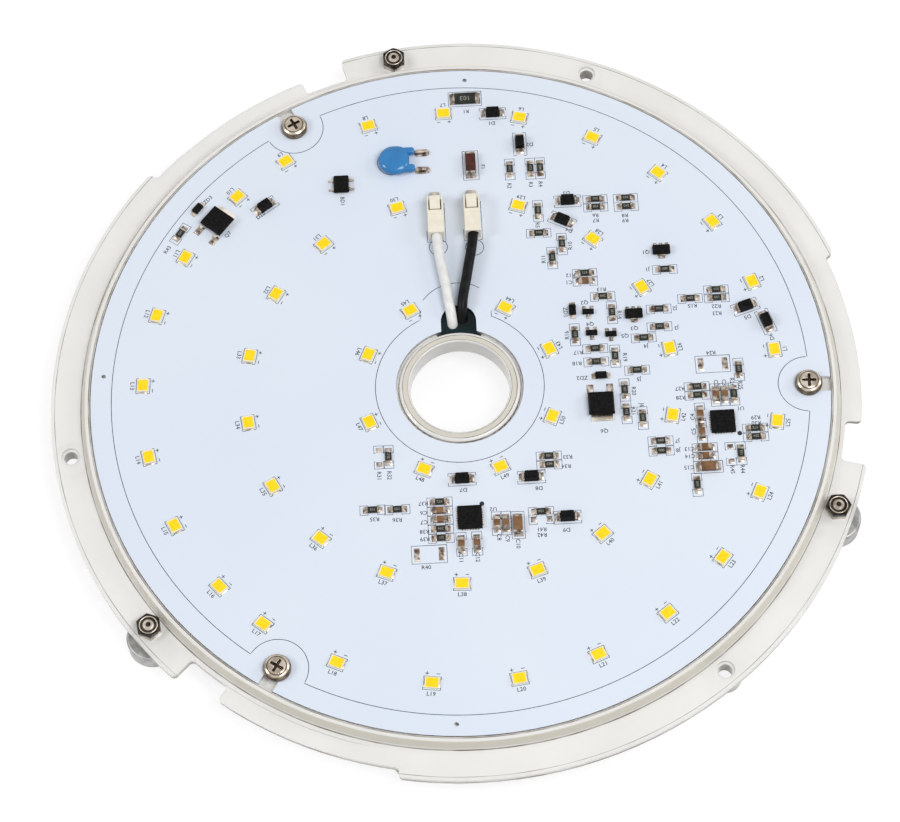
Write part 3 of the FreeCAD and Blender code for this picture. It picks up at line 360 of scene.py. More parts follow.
def solids(name):
    """The box of each loose solid of a CAD node: its centre, turn, length, width, foot and top."""
    shell = bmesh.new()
    shell.from_mesh(frame["nodes"][name].data)
    bmesh.ops.remove_doubles(shell, verts=shell.verts, dist=WELD)
    seen, found = set(), []
    for first in shell.verts:
        if first in seen:
            continue
        seen.add(first)
        reached = [first]
        for vert in reached:
            for edge in vert.link_edges:
                other = edge.other_vert(vert)
                if other not in seen:
                    seen.add(other)
                    reached.append(other)
        best = None
        for edge in [edge for vert in reached for edge in vert.link_edges]:
            run = edge.verts[1].co - edge.verts[0].co
            if abs(run.z) > LEVEL_RUN * MM or run.length < SHORTEST_SIDE * MM:
                continue
            along = Vector((run.x, run.y)).normalized()
            across = Vector((-along.y, along.x))
            spans = [[v.co.xy.dot(axis) for v in reached] for axis in (along, across)]
            low, high = [min(s) for s in spans], [max(s) for s in spans]
            length, width = high[0] - low[0], high[1] - low[1]
            if length < width - 0.001 * MM:
                continue
            if best is None or length * width < best[0] - SAME_AREA:
                centre = along * (low[0] + high[0]) / 2 + across * (low[1] + high[1]) / 2
                best = (length * width, centre, math.atan2(along.y, along.x), length, width)
        heights = [v.co.z for v in reached]
        found.append(best[1:] + (min(heights), max(heights)))
    shell.free()
    return found


def place_at(centre, turn, height=BOARD_TOP):
    return Matrix.Translation((centre[0], centre[1], height)) @ Matrix.Rotation(turn, 4, "Z")


def new_box(length, width, height, centre=(0, 0), foot=0.0):
    """A box of these sizes in millimetres, standing on a foot level."""
    bpy.ops.mesh.primitive_cube_add(size=1)
    piece = bpy.context.object
    piece.matrix_world = (Matrix.Translation(Vector((centre[0], centre[1], foot + height / 2)) * MM)
                          @ Matrix.Diagonal((length * MM, width * MM, height * MM, 1)))
    bpy.ops.object.transform_apply()
    return piece


def select_faces(piece, wanted):
    """Selects the faces that a test on their centre and normal wants, and goes to edit mode."""
    select_only(piece)
    bpy.ops.object.mode_set(mode="EDIT")
    bpy.ops.mesh.select_mode(type="FACE")
    bpy.ops.mesh.select_all(action="DESELECT")
    bpy.ops.object.mode_set(mode="OBJECT")
    for face in piece.data.polygons:
        face.select = wanted(face.center, face.normal)
    bpy.ops.object.mode_set(mode="EDIT")


def taper(piece, along, across, middle=(0, 0, 0)):
    """Shrinks the top of a piece about a middle."""
    select_faces(piece, lambda centre, normal: normal.z > 0.9)
    bpy.ops.transform.resize(value=(along, across, 1), center_override=middle)
    bpy.ops.object.mode_set(mode="OBJECT")


def join_all(pieces):
    """Joins several pieces into the first, with their places in one mesh."""
    bpy.ops.object.select_all(action="DESELECT")
    for piece in pieces:
        piece.select_set(True)
    bpy.context.view_layer.objects.active = pieces[0]
    if len(pieces) > 1:
        bpy.ops.object.join()
    bpy.ops.object.transform_apply()
    return bpy.context.object


def scatter(master, places):
    """One piece of equal copies of a master, each at its own place; the master is used up."""
    copies = []
    for place in places:
        copy = master.copy()
        copy.data = master.data.copy()
        copy.matrix_world = place @ master.matrix_world
        bpy.context.collection.objects.link(copy)
        copies.append(copy)
    bpy.data.objects.remove(master)
    return join_all(copies)


def speckled(name, dark, light, roughness, scale, depth, **constant):
    """A material whose colour and roughness vary a little in fine grains."""
    def sockets(tree):
        fine = grain(tree, scale, 3)
        return {"Base Color": mixed(tree, fine.ramp(0.3, 0.7), (*dark, 1), (*light, 1)),
                "Roughness": fine * 0.16 + (roughness - 0.08),
                "Normal": bump(tree, fine, depth * MM, 0.6),
                **{key.replace("_", " "): content for key, content in constant.items()}}
    return principled(name, sockets)


led_cream = speckled("led_cream", (0.86, 0.80, 0.58), (0.93, 0.88, 0.70), 0.35, 900, 0.01)
led_yellow = speckled("phosphor_resin", (1.0, 0.66, 0.006), (1.0, 0.76, 0.02), 0.45, 1400, 0.02,
                      Specular_IOR_Level=0.2)
tin_plate = speckled("tin_plate", (0.20, 0.16, 0.12), (0.62, 0.57, 0.50), 0.30, 480, 0.03, Metallic=1.0)

for ring in LED_RINGS:
    places = []
    for centre, turn, *_ in solids("led_housings_" + ring):
        places.append(place_at(centre, math.atan2(centre[1], centre[0])))
    package = new_box(LED_WIDTH, LED_LENGTH, LED_HEIGHT)
    select_faces(package, lambda centre, normal: normal.z > 0.9)
    bpy.ops.mesh.inset(thickness=CUP_WALL * MM)
    bpy.ops.transform.resize(value=(1, 0.95, 1))
    bpy.ops.mesh.extrude_region_move(TRANSFORM_OT_translate={"value": (0, 0, -CUP_DEPTH * MM)})
    bpy.ops.transform.resize(value=(0.9, 0.9, 1))
    bpy.ops.object.mode_set(mode="OBJECT")
    round_edges(package, 0.06)
    finish_piece(scatter(package, places), f"led_packages_{ring}", led_cream, "led_body")
    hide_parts("led_housings_" + ring)

    resin = new_box(2.4, 2.9, 0.33, foot=0.36)
    select_faces(resin, lambda centre, normal: normal.z > 0.9)
    bpy.ops.mesh.inset(thickness=0.25 * MM)
    bpy.ops.transform.translate(value=(0, 0, -0.05 * MM))
    bpy.ops.object.mode_set(mode="OBJECT")
    round_edges(resin, 0.05, angle=20)
    finish_piece(scatter(resin, places), f"led_resin_{ring}", led_yellow, "led_phosphor")
    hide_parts("led_phosphors_" + ring)

    tabs = []
    for end in (-1, 1):
        tab = new_box(2.1, 0.5, 0.2, (0, end * (LED_LENGTH / 2 + TAB_OUT)))
        select_faces(tab, lambda centre, normal: normal.y * end > 0.9)
        bpy.ops.transform.resize(value=(0.96, 1, 0.35), center_override=(0, 0, 0))
        bpy.ops.object.mode_set(mode="OBJECT")
        tabs.append(round_edges(tab, 0.04))
    finish_piece(scatter(join_all(tabs), places), f"led_tabs_{ring}", tin_plate, "lead_tin")

# Chip resistors, links and capacitors: a dark glazed or brown ceramic body between wrapped metal
# ends. Each end stands in a fillet of solder on a pad a little wider than the chip.
chip_glaze = speckled("chip_glaze", (0.012, 0.013, 0.010), (0.030, 0.031, 0.024), 0.4, 800, 0.02,
                      Specular_IOR_Level=0.2)
capacitor_brown = speckled("capacitor_ceramic", (0.13, 0.055, 0.02), (0.24, 0.13, 0.06), 0.42, 420, 0.02,
                           Specular_IOR_Level=0.3)
fuse_maroon = speckled("fuse_ceramic", (0.035, 0.006, 0.004), (0.09, 0.016, 0.008), 0.4, 500, 0.02,
                       Specular_IOR_Level=0.3)
solder = speckled("solder", (0.10, 0.065, 0.045), (0.60, 0.53, 0.46), 0.26, 800, 0.06, Metallic=0.9)
SOLDER_REACH, SOLDER_CLIMB, SOLDER_HOLLOW, SOLDER_EDGE, SOLDER_SPREAD = 0.8, 0.85, 2.2, 0.1, 0.06
CHIP_END, CAPACITOR_END = 0.5, 0.8


def chip_body(length, width, height, end):
    return round_edges(new_box(length - 2 * end, width, height - 0.03, foot=0.02), 0.05)


def chip_end(length, width, height, end=CHIP_END):
    """A metal cap round one end, and the hollow slope of solder from it to the pad."""
    cap = round_edges(new_box(end, width + 0.04, height, ((length - end) / 2, 0)), 0.07)
    slope = new_box(SOLDER_REACH, width, height * SOLDER_CLIMB, (length / 2 + SOLDER_REACH / 2, 0))
    bpy.ops.object.mode_set(mode="EDIT")
    bpy.ops.mesh.bisect(plane_co=((length / 2 + SOLDER_REACH * 0.4) * MM, 0, 0), plane_no=(1, 0, 0))
    bpy.ops.object.mode_set(mode="OBJECT")
    for corner in slope.data.vertices:
        run = (corner.co.x / MM - length / 2) / SOLDER_REACH
        if corner.co.z > 0.01 * MM:
            climb = height * SOLDER_CLIMB * max(0, 1 - run) ** SOLDER_HOLLOW
            corner.co.z = max(SOLDER_EDGE, climb) * MM
        corner.co.y *= 1 + SOLDER_SPREAD * run
    return join_all([cap, round_edges(slope, 0.05, angle=25)])


def end_pieces(places, *sizes):
    """The metal ends of equal chips at these places: one piece for each side."""
    return [scatter(chip_end(*sizes), [place @ Matrix.Rotation(turned, 4, "Z") for place in places])
            for turned in (0, math.pi)]


chip_kinds = {
    "chip_resistors": (chip_glaze, "resistor_glaze"),
    "zero_ohm_links": (chip_glaze, "resistor_glaze"),
    "chip_capacitors": (capacitor_brown, "capacitor_ceramic"),
    "large_capacitors": (capacitor_brown, "capacitor_ceramic"),
    "power_resistor": (chip_glaze, "resistor_glaze"),
    "surface_fuse": (fuse_maroon, "fuse_ceramic"),
}
chip_places, chip_words = {}, []
MARK_SIZE, LARGE_MARK = 0.95, 2.0
CODES = ("103", "472", "204", "331", "150", "683", "242", "105")
SMALL_KINDS, SMALL_SIZE = ("chip_resistors", "zero_ohm_links", "chip_capacitors"), (3.2, 1.6)
ends = []
for name, (material, slot) in chip_kinds.items():
    found = solids(name)
    places = chip_places[name] = [place_at(centre, turn) for centre, turn, *_ in found]
    _, _, length, width, foot, top = found[0]
    height = (top - foot) / MM
    size = (length / MM + 2 * CHIP_END, width / MM)
    if name in SMALL_KINDS:
        size = SMALL_SIZE
    cap_length = CAPACITOR_END if name == "chip_capacitors" else CHIP_END
    body = chip_body(*size, height, cap_length)
    for number, place in enumerate(places):
        if "resistor" in name or "link" in name:
            code = "000" if "link" in name else CODES[number % len(CODES)]
            on_top = Matrix.Translation((0, 0, (height - 0.005) * MM)) @ Matrix.Rotation(math.pi, 4, "Z")
            grow = Matrix.Scale(LARGE_MARK if name == "power_resistor" else 1.0, 4)
            chip_words.append((code, place @ on_top @ grow))
    finish_piece(scatter(body, places), name + "_bodies", material, slot)
    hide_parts(name)
    ends += end_pieces(places, *size, height, cap_length)
finish_piece(join_all(ends), "chip_terminals", solder, "solder")
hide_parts("chip_ends")

# Diodes, transistors, rectifier and driver chips: bodies of black moulding compound with bent,
# tinned leads that are soldered flat to the board.
moulding_black = speckled("moulding_compound", (0.004, 0.0038, 0.0038), (0.012, 0.0115, 0.0115), 0.45,
                          1600, 0.03, Specular_IOR_Level=0.05)
for name in ("small_diodes", "bridge_rectifier", "switch_mosfet", "input_mosfet",
             "transistors", "small_transistors", "main_driver_chip", "second_driver_chip"):
    dress(name, 0.12, moulding_black)
for name in ("small_diode_leads", "bridge_leads", "transistor_leads", "small_transistor_leads",
             "main_driver_chip_pads", "second_driver_chip_pads"):
    dress(name, 0.05, tin_plate)
bright_tin = speckled("bright_tin", (0.48, 0.42, 0.34), (0.84, 0.79, 0.71), 0.28, 330, 0.03, Metallic=1.0)
for name in ("switch_mosfet_leads", "input_mosfet_leads"):
    dress(name, 0.1, bright_tin)

# Board print: screen printed lines and letters of dark ink. There are outlines round the pads,
# designators, signs at the diodes, and rings round the screws and the bore.
PRINT_WIDTH, PRINT_FLATNESS, LETTER_SIZE = 0.17, 0.2, 1.5
DESIGNATORS = {
    "R": [
        (5.5, 79.5, 180), (15.5, 56.5, -90), (21.0, 56.5, -90), (23.5, 56.5, -90), (22.0, 44.5, -90),
        (37.0, 46.5, 180), (37.0, 45.0, 180), (44.5, 46.0, 180), (44.5, 44.5, 180), (30.0, 38.0, 90),
        (23.0, 34.5, 90), (29.5, 29.5, 180), (37.0, 25.0, 180), (41.0, 17.5, -90), (59.5, 19.0, 180),
        (27.5, 12.5, 90), (30.0, 7.5, 180), (29.5, 4.5, 180), (41.5, 5.5, -90), (43.0, -4.0, -90),
        (42.5, -9.5, -90), (65.5, 18.5, 180), (65.5, 16.5, 180), (63.0, 5.5, 180), (69.5, -4.0, -90),
        (67.5, -3.0, -90), (54.5, -4.0, 180), (54.5, -6.5, 180), (72.5, -13.0, 180),
        (72.5, -14.5, 180), (-21.0, -23.5, -90), (-18.5, -23.5, -90), (25.5, -21.0, 180),
        (25.0, -23.5, 180), (-22.5, -35.0, 180), (-17.0, -35.5, 180), (-10.5, -31.5, 180),
        (-10.5, -39.0, 180), (-10.5, -41.0, 180), (-10.5, -48.5, 0), (18.0, -40.0, 180),
        (18.0, -41.5, 180), (-72.5, 43.0, 55), (68.0, -26.8, -90), (65.5, -26.8, -90),
    ],
    "C": [
        (29.0, 27.5, 180), (63.5, -3.0, -90), (65.5, -3.0, -90), (57.0, -12.0, 90),
        (57.0, -16.0, 90), (-10.5, -34.0, 180), (-10.5, -36.5, 180), (7.5, -41.5, -90),
        (9.5, -42.0, -90), (12.0, -43.5, -90), (-2.0, -46.5, -90), (2.0, -46.5, -90),
        (55.5, -20.6, 180), (55.5, -22.6, 180), (55.0, -25.6, 180),
    ],
    "D": [
        (12.0, 75.5, 180), (21.5, 68.5, 180), (30.0, 53.5, 180), (30.0, 42.5, 152), (73.0, 15.0, 198),
        (78.5, 9.0, 108), (-0.5, -28.4, 180), (18.0, -29.0, 180), (24.0, -40.5, 180), (-48.5, 51.5, 35),
    ],
    "F": [(9.0, 62.5, -90)],
    "BD": [(-27.5, 54.5, -90)],
    "Q": [
        (49.0, 35.0, 180), (32.5, 21.5, 180), (44.5, 13.5, 180), (33.5, 15.3, 180), (42.0, 11.5, 180),
        (35.0, -14.5, 180), (-57.0, 46.5, 50),
    ],
    "J": [
        (49.0, 30.0, 180), (55.0, 18.5, 180), (55.0, 13.0, 180), (47.0, 8.3, 180), (44.5, -0.8, 180),
        (44.7, -8.0, -90), (52.7, -18.3, 180), (52.7, -20.8, 180),
    ],
    "ZD": [(27.5, 19.0, -90), (30.5, 0.4, 180), (-62.0, 57.0, 45)],
    "U": [(69.0, -10.3, 180), (6.5, -34.0, 180)],
}
ink = speckled("print_ink", (0.012, 0.012, 0.020), (0.04, 0.04, 0.05), 0.5, 900, 0.005,
               Specular_IOR_Level=0.2)
strokes = []


def stroke(place, *points):
    """Adds a printed line through these points, in millimetres at a place on the board."""
    strokes.append([place @ Vector((x * MM, y * MM, 0)) for x, y in points])


def outline(place, half_length, half_width):
    """Adds a printed rectangle round a place."""
    corners = [(half_length, half_width), (-half_length, half_width),
               (-half_length, -half_width), (half_length, -half_width)]
    stroke(place, *corners, corners[0])


def arc(x, y, radius, start, end, steps=32):
    angles = [math.radians(start + (end - start) * step / steps) for step in range(steps + 1)]
    return [(x + radius * math.cos(angle), y + radius * math.sin(angle)) for angle in angles]


def lettering(words, size):
    """A flat piece of words, each one centred on its own place."""
    letters = []
    for text, place in words:
        bpy.ops.object.text_add()
        word = bpy.context.object
        word.data.body = text
        word.data.size = size * MM
        word.data.align_x = word.data.align_y = "CENTER"
        word.data.extrude = 0.01 * MM
        word.data.offset = 0.012 * MM
        word.data.resolution_u = 2
        word.matrix_world = place
        letters.append(word)
    for word in letters:
        word.select_set(True)
    bpy.ops.object.convert(target="MESH")
    return join_all(letters)


whole_board = place_at((0, 0), 0)
SCREW_TURNS, SCREW_CIRCLE, SCALLOP = (117, 237, 357), 86.5, 7.5
PRINTED_RING, SCALLOP_SPREAD = 86.8, 4.97
for turn in SCREW_TURNS:
    stroke(whole_board, *arc(0, 0, PRINTED_RING, turn + SCALLOP_SPREAD, turn + 120 - SCALLOP_SPREAD, 96))
    screw = (SCREW_CIRCLE * math.cos(math.radians(turn)), SCREW_CIRCLE * math.sin(math.radians(turn)))
    stroke(whole_board, *arc(*screw, SCALLOP, turn + 92.5, turn + 267.5))
stroke(whole_board, (-9.0, 21.8), (-8.9, 19.0), *arc(0, 0, 21.0, 115, 425, 96), (8.9, 20.6))
stroke(whole_board, *arc(0.5, 18.5, 10.5, 57, 145))
stroke(whole_board, *arc(-14.3, 65.3, 3.75, 0, 360))
stroke(whole_board, *arc(-3.5, 39.6, 2.3, 0, 360))
stroke(whole_board, *arc(5.7, 39.0, 2.3, 0, 360))
BLOCK_MIDDLES = (-3.85, 5.5)
for x in BLOCK_MIDDLES:
    stroke(whole_board, (x - 2.35, 44.4), (x - 2.35, 41.2), (x - 1.5, 41.2))
    # The right line runs the whole depth of the block: partly print and partly painted shadow beside the
    # block.
    stroke(whole_board, (x + 2.35, 52.4), (x + 2.35, 41.2), (x + 1.6, 41.2))

words = []
led_number = 0
for ring in LED_RINGS:
    for centre, *_ in solids("led_housings_" + ring):
        led_number += 1
        place = place_at(centre, math.atan2(centre[1], centre[0]))
        for side in (-1, 1):
            stroke(place, (side * 1.1, 2.1), (side * 1.7, 2.1), (side * 1.7, -2.1), (side * 1.1, -2.1))
        # A dark line across the +Y end of each package, over its tab.
        stroke(place, (-1.15, 1.98), (1.15, 1.98))
        stroke(place, (-2.45, -1.85), (-2.45, -0.95))
        stroke(place, (-2.9, -1.4), (-2.0, -1.4))
        stroke(place, (-2.45, 0.85), (-2.45, 1.75))
        label = Matrix.Translation((2.75 * MM, 0, 0)) @ Matrix.Rotation(math.pi / 2, 4, "Z")
        words.append((f"L{led_number}", place @ label))
for kind, spots in DESIGNATORS.items():
    for number, (x, y, turn) in enumerate(spots, 1):
        words.append((f"{kind}{number}", place_at((x * MM, y * MM), math.radians(turn))))

chip_outline = [(1.15, 0.95), (1.15, 1.25), (3.1, 1.25), (3.1, -1.25), (1.15, -1.25), (1.15, -0.95)]
EMPTY_PLACES = [(65.5, -22.6, 90), (-20.8, -18.5, 90), (18.1, -37.4, 0)]
empty_places = [place_at((x * MM, y * MM), math.radians(turn)) for x, y, turn in EMPTY_PLACES]
small_places = [place for name in SMALL_KINDS for place in chip_places[name]]
for place in small_places + empty_places:
    for end in (-1, 1):
        stroke(place, *[(end * x, y) for x, y in chip_outline])
for name, half_length, half_width in (("power_resistor", 4.3, 2.2), ("surface_fuse", 4.3, 2.0),
                                      ("large_capacitors", 3.6, 1.6)):
    for place in chip_places[name]:
        outline(place, half_length, half_width)
for centre, turn, *_ in solids("diodes"):
    for side in (-1, 1):
        stroke(place_at(centre, turn), (-3.4, side * 0.9), (-3.4, side * 1.7), (3.4, side * 1.7),
               (3.4, side * 0.9))
WIDE_PLACES = [(63.2, 2.3), (-9.6, -45.1)]
wide_places = [place_at((x * MM, y * MM), 0) for x, y in WIDE_PLACES]
for place in wide_places:
    outline(place, 4.3, 2.35)

lines = bpy.data.curves.new("print_lines", "CURVE")
lines.dimensions = "3D"
lines.bevel_depth = PRINT_WIDTH / 2 * MM
lines.bevel_resolution = 0
lines.use_fill_caps = True
for points in strokes:
    spline = lines.splines.new("POLY")
    spline.points.add(len(points) - 1)
    for point, place in zip(spline.points, points):
        point.co = (*place, 1)
print_lines = bpy.data.objects.new("print_lines", lines)
bpy.context.collection.objects.link(print_lines)
select_only(print_lines)
bpy.ops.object.convert(target="MESH")
bpy.ops.object.mode_set(mode="EDIT")
bpy.ops.mesh.select_all(action="SELECT")
bpy.ops.transform.resize(value=(1, 1, PRINT_FLATNESS), center_override=(0, 0, BOARD_TOP))
bpy.ops.object.mode_set(mode="OBJECT")
finish_piece(bpy.context.object, "print_lines", ink, "board_coating")
finish_piece(lettering(words, LETTER_SIZE), "print_letters", ink, "board_coating")

bpy.ops.mesh.primitive_cylinder_add(vertices=32, radius=0.6 * MM, depth=0.03 * MM)
pin_dots = scatter(bpy.context.object, [place_at((x * MM, y * MM), 0)
                                        for x, y in ((68.2, -17.1), (3.8, -32.4))])
finish_piece(pin_dots, "print_dots", ink, "board_coating")

# Empty pads: bare pads of parts that this version of the board leaves out, with thin domes of
# solder on them.
bare_pads = []
for spots, x, length, width in ((wide_places, 3.0, 1.5, 3.5), (empty_places, 1.95, 1.4, 1.5)):
    for end in (-1, 1):
        pad = new_box(length, width, 0.16, (end * x, 0))
        taper(pad, 0.6, 0.75, (end * x * MM, 0, 0.16 * MM))
        bare_pads.append(scatter(round_edges(pad, 0.04, angle=15), spots))
finish_piece(join_all(bare_pads), "bare_pads", solder, "solder")

# Diodes: short black blocks of moulding compound with sloping sides. Each sits between two
# bent leads that stand in slopes of solder.
diode_places = [place_at(centre, turn) for centre, turn, *_ in solids("diodes")]
block = new_box(3.5, 2.4, 1.9, foot=0.1)
taper(block, 0.9, 0.88)
diode_bodies = scatter(round_edges(block, 0.12), diode_places)
finish_piece(diode_bodies, "diode_bodies", moulding_black, "package_black")
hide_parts("diodes")
finish_piece(join_all(end_pieces(diode_places, 4.5, 2.0, 1.15)), "diode_ends", solder, "lead_tin")
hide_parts("diode_leads")

# Solder pads of the transistors: the tinned copper under each leg, with a shallow dome of solder
# that holds the leg. Each kind has its own turn on the board and its own row of pads.
MOSFET_PADS = [(-2.45, -4.5, 1.75, 2.8), (2.45, -4.5, 1.75, 2.8)]
pad_kinds = {
    "switch_mosfet": (180, MOSFET_PADS),
    "input_mosfet": (-40, MOSFET_PADS),
    "transistors": (180, [(-1.5, -1.8, 0.9, 1.1), (0, -1.8, 0.9, 1.1), (1.5, -1.8, 0.9, 1.1)]),
    "small_transistors": (180, [(-0.95, -1.3, 1.0, 1.1), (0.95, -1.3, 1.0, 1.1), (0, 1.3, 1.1, 1.1)]),
}
transistor_pads = []
for name, (turn, pads) in pad_kinds.items():
    for centre, *_ in solids(name):
        for x, y, length, width in pads:
            pad = new_box(length, width, 0.3, (x, y))
            taper(pad, 0.75, 0.8, (x * MM, y * MM, 0.3 * MM))
            round_edges(pad, 0.06, angle=15)
            pad.matrix_world = place_at(centre, math.radians(turn))
            transistor_pads.append(pad)
for centre, *_ in solids("transistors"):
    bpy.ops.mesh.primitive_cylinder_add(vertices=32, radius=0.95 * MM, depth=0.45 * MM,
                                        location=(0, 1.35 * MM, 0.225 * MM))
    plate = bpy.context.object
    bpy.ops.object.transform_apply()
    round_edges(plate, 0.08)
    plate.matrix_world = place_at(centre, math.pi)
    transistor_pads.append(plate)
finish_piece(join_all(transistor_pads), "transistor_pads", solder, "solder")

# Chip marks: three digits on each resistor and link. They are printed in pale paint on the
# glaze, and are only just lighter than it.
pale_paint = speckled("pale_paint", (0.16, 0.16, 0.14), (0.34, 0.34, 0.30), 0.5, 900, 0.005)
finish_piece(lettering(chip_words, MARK_SIZE), "chip_marks", pale_paint, "resistor_glaze")

# Varistor: a disc dipped in glossy blue epoxy that is drawn out to two shoulders at its legs. They
# run out to wires that are soldered flat in long oval pools.
epoxy_blue = speckled("blue_epoxy", (0.010, 0.17, 0.44), (0.018, 0.22, 0.54), 0.13, 180, 0.05)
VARISTOR_RADIUS, LEG_ASIDE, VARISTOR_MIDDLE = 4.0, 2.6, (-13.8, 64.9)
SHOULDERS, FULL_RIM, FULL_FACE = 2.8, 0.7, 0.8
(_, _, low), (_, _, high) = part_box("varistor")
bpy.ops.mesh.primitive_uv_sphere_add(segments=64, ring_count=32, radius=1)
dip = bpy.context.object
for corner in dip.data.vertices:
    reach = corner.co.xy.length
    if reach > 1e-6:
        way = corner.co.xy / reach
        square = 1.0
        if way.x > 0:
            square = (way.x ** SHOULDERS + abs(way.y) ** SHOULDERS) ** (-1 / SHOULDERS)
        corner.co.xy = way * square * reach ** FULL_RIM * VARISTOR_RADIUS * MM
    corner.co.z = math.copysign(abs(corner.co.z) ** FULL_FACE, corner.co.z) * (high - low) / 2
select_only(dip)
bpy.ops.object.shade_smooth()
legs = [round_edges(new_box(3.4, 1.9, 1.9, (3.7, side * LEG_ASIDE * 0.97), -1.0), 0.7, segments=4)
        for side in (-1, 1)]
dip = join_all([dip] + legs)
x, y = VARISTOR_MIDDLE
dip.matrix_world = Matrix.Translation((x * MM, y * MM, (low + high) / 2))
bpy.ops.object.transform_apply()
finish_piece(dip, "varistor_dip", epoxy_blue, "varistor_blue")
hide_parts("varistor")
dress("varistor_leads", 0.2, solder, segments=3)

# Terminal blocks: push-in housings of cream plastic with a release tongue at the back, over a
# bent and tinned contact strip.
block_cream = speckled("block_cream", (0.80, 0.74, 0.61), (0.86, 0.81, 0.69), 0.4, 500, 0.02)
for side in ("neutral", "live"):
    dress(side + "_terminal_block", 0.12, block_cream)
    dress(side + "_contact", 0.06, tin_plate)
clips = []
for x in BLOCK_MIDDLES:
    clips.append(round_edges(new_box(2.3, 1.7, 3.3, (x, 53.1)), 0.12))
    clips.append(round_edges(new_box(2.6, 2.4, 0.5, (x, 54.2)), 0.2))
clips = join_all(clips)
clips.matrix_world = whole_board
bpy.ops.object.transform_apply()
finish_piece(clips, "contact_clips", tin_plate, "lead_tin")

# Supply leads: two limp stranded wires in white and black insulation. They run from the blocks
# over the board, dive through the bushing and lie in loose curves under the carrier.
LEAD_DIAMETER = 2.6
WHITE_ROUTE = [
    (-3.85, 44.0, 6.9), (-3.75, 40.0, 6.9), (-3.2, 34.8, 6.75), (-2.3, 29.2, 6.55), (-1.75, 23.9, 6.4),
    (-1.3, 20.7, 5.95), (-1.0, 18.1, 4.2), (-0.9, 16.95, 1.4), (-1.0, 16.8, -1.6), (-2.2, 17.1, -4.2),
    (-5.0, 17.9, -5.9), (-9.0, 19.4, -6.4), (-14.6, 22.8, -6.45), (-23.0, 29.6, -6.45),
    (-35.0, 33.5, -6.45), (-48.0, 29.5, -6.45), (-57.5, 19.0, -6.45), (-62.0, 6.0, -6.45),
    (-60.0, -8.0, -6.45), (-52.0, -19.5, -6.45),
]
BLACK_ROUTE = [
    (5.5, 44.0, 6.9), (5.45, 41.0, 6.9), (4.8, 37.2, 6.85), (3.9, 33.2, 6.7), (3.15, 29.2, 6.6),
    (2.3, 25.6, 6.4), (1.75, 22.4, 6.35), (1.6, 19.9, 4.7), (1.6, 18.5, 2.2), (1.7, 18.1, -0.7),
    (2.6, 18.0, -3.5), (4.9, 18.5, -5.5), (8.7, 19.9, -6.4), (14.2, 23.2, -6.45), (22.0, 30.4, -6.45),
    (33.5, 36.6, -6.45), (47.0, 35.0, -6.45), (58.0, 26.0, -6.45), (64.5, 13.5, -6.45),
    (64.0, -0.5, -6.45), (58.5, -13.0, -6.45),
]
white_vinyl = speckled("white_insulation", (0.74, 0.74, 0.72), (0.84, 0.84, 0.83), 0.36, 500, 0.03)
black_vinyl = speckled("black_insulation", (0.004, 0.004, 0.005), (0.012, 0.012, 0.013), 0.32, 500, 0.03,
                       Specular_IOR_Level=0.1)


def twisted(tree):
    """Tinned strands that wind round the wire."""
    place = node(tree, "ShaderNodeTexCoord", {}, out=3)
    strands = node(tree, "ShaderNodeTexWave", {"Vector": place, "Scale": 700.0, "Distortion": 2.0},
                   bands_direction="DIAGONAL")
    return {"Base Color": mixed(tree, strands, (0.50, 0.36, 0.28, 1), (0.82, 0.74, 0.68, 1)),
            "Metallic": 1.0, "Roughness": strands * 0.1 + 0.28,
            "Normal": bump(tree, strands, 0.08 * MM, 0.8)}


strand_copper = principled("tinned_strands", twisted)
for colour, route, vinyl, length in (("white", WHITE_ROUTE, white_vinyl, 0.141),
                                     ("black", BLACK_ROUTE, black_vinyl, 0.139)):
    line = bpy.data.curves.new(colour + "_sleeve", "CURVE")
    line.dimensions = "3D"
    spline = line.splines.new("NURBS")
    spline.points.add(len(route) - 1)
    for point, (x, y, z) in zip(spline.points, route):
        point.co = (x * MM, y * MM, z * MM, 1)
    spline.order_u = 3
    spline.use_endpoint_u = True
    spline.resolution_u = 12
    line.bevel_depth = LEAD_DIAMETER / 2 * MM
    line.bevel_resolution = 6
    line.use_fill_caps = True
    sleeve = bpy.data.objects.new(colour + "_sleeve", line)
    bpy.context.collection.objects.link(sleeve)
    finish_piece(sleeve, colour + "_sleeve", vinyl, colour + "_sleeve")
    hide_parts(colour + "_lead")
    wire = dress(colour + "_lead_wire", 0.15, strand_copper)
    block_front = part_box(("neutral" if colour == "white" else "live") + "_terminal_block")[0][1]
    route[0][0] * MM
    route[0][2] * MM

# Lead bushing: a black rubber plug that keeps the leads off the board's edge, held in the opening
# by a lip under the board.
black_rubber = speckled("black_rubber", (0.002, 0.004, 0.005), (0.004, 0.022, 0.027), 0.26, 110, 0.04,
                        Specular_IOR_Level=0.15)
dress("lead_bushing", 0.25, black_rubber)

# Board screws: nickel plated self-tapping screws with a pan head and a cross recess. They clamp the board
# to the bosses of the carrier, and a ring of painted shade runs round each head.
nickel = speckled("nickel_plate", (0.30, 0.25, 0.20), (0.66, 0.60, 0.52), 0.22, 260, 0.03, Metallic=1.0)
SCREW_TOP, RECESS_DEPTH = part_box("board_screws")[1][2], 0.7


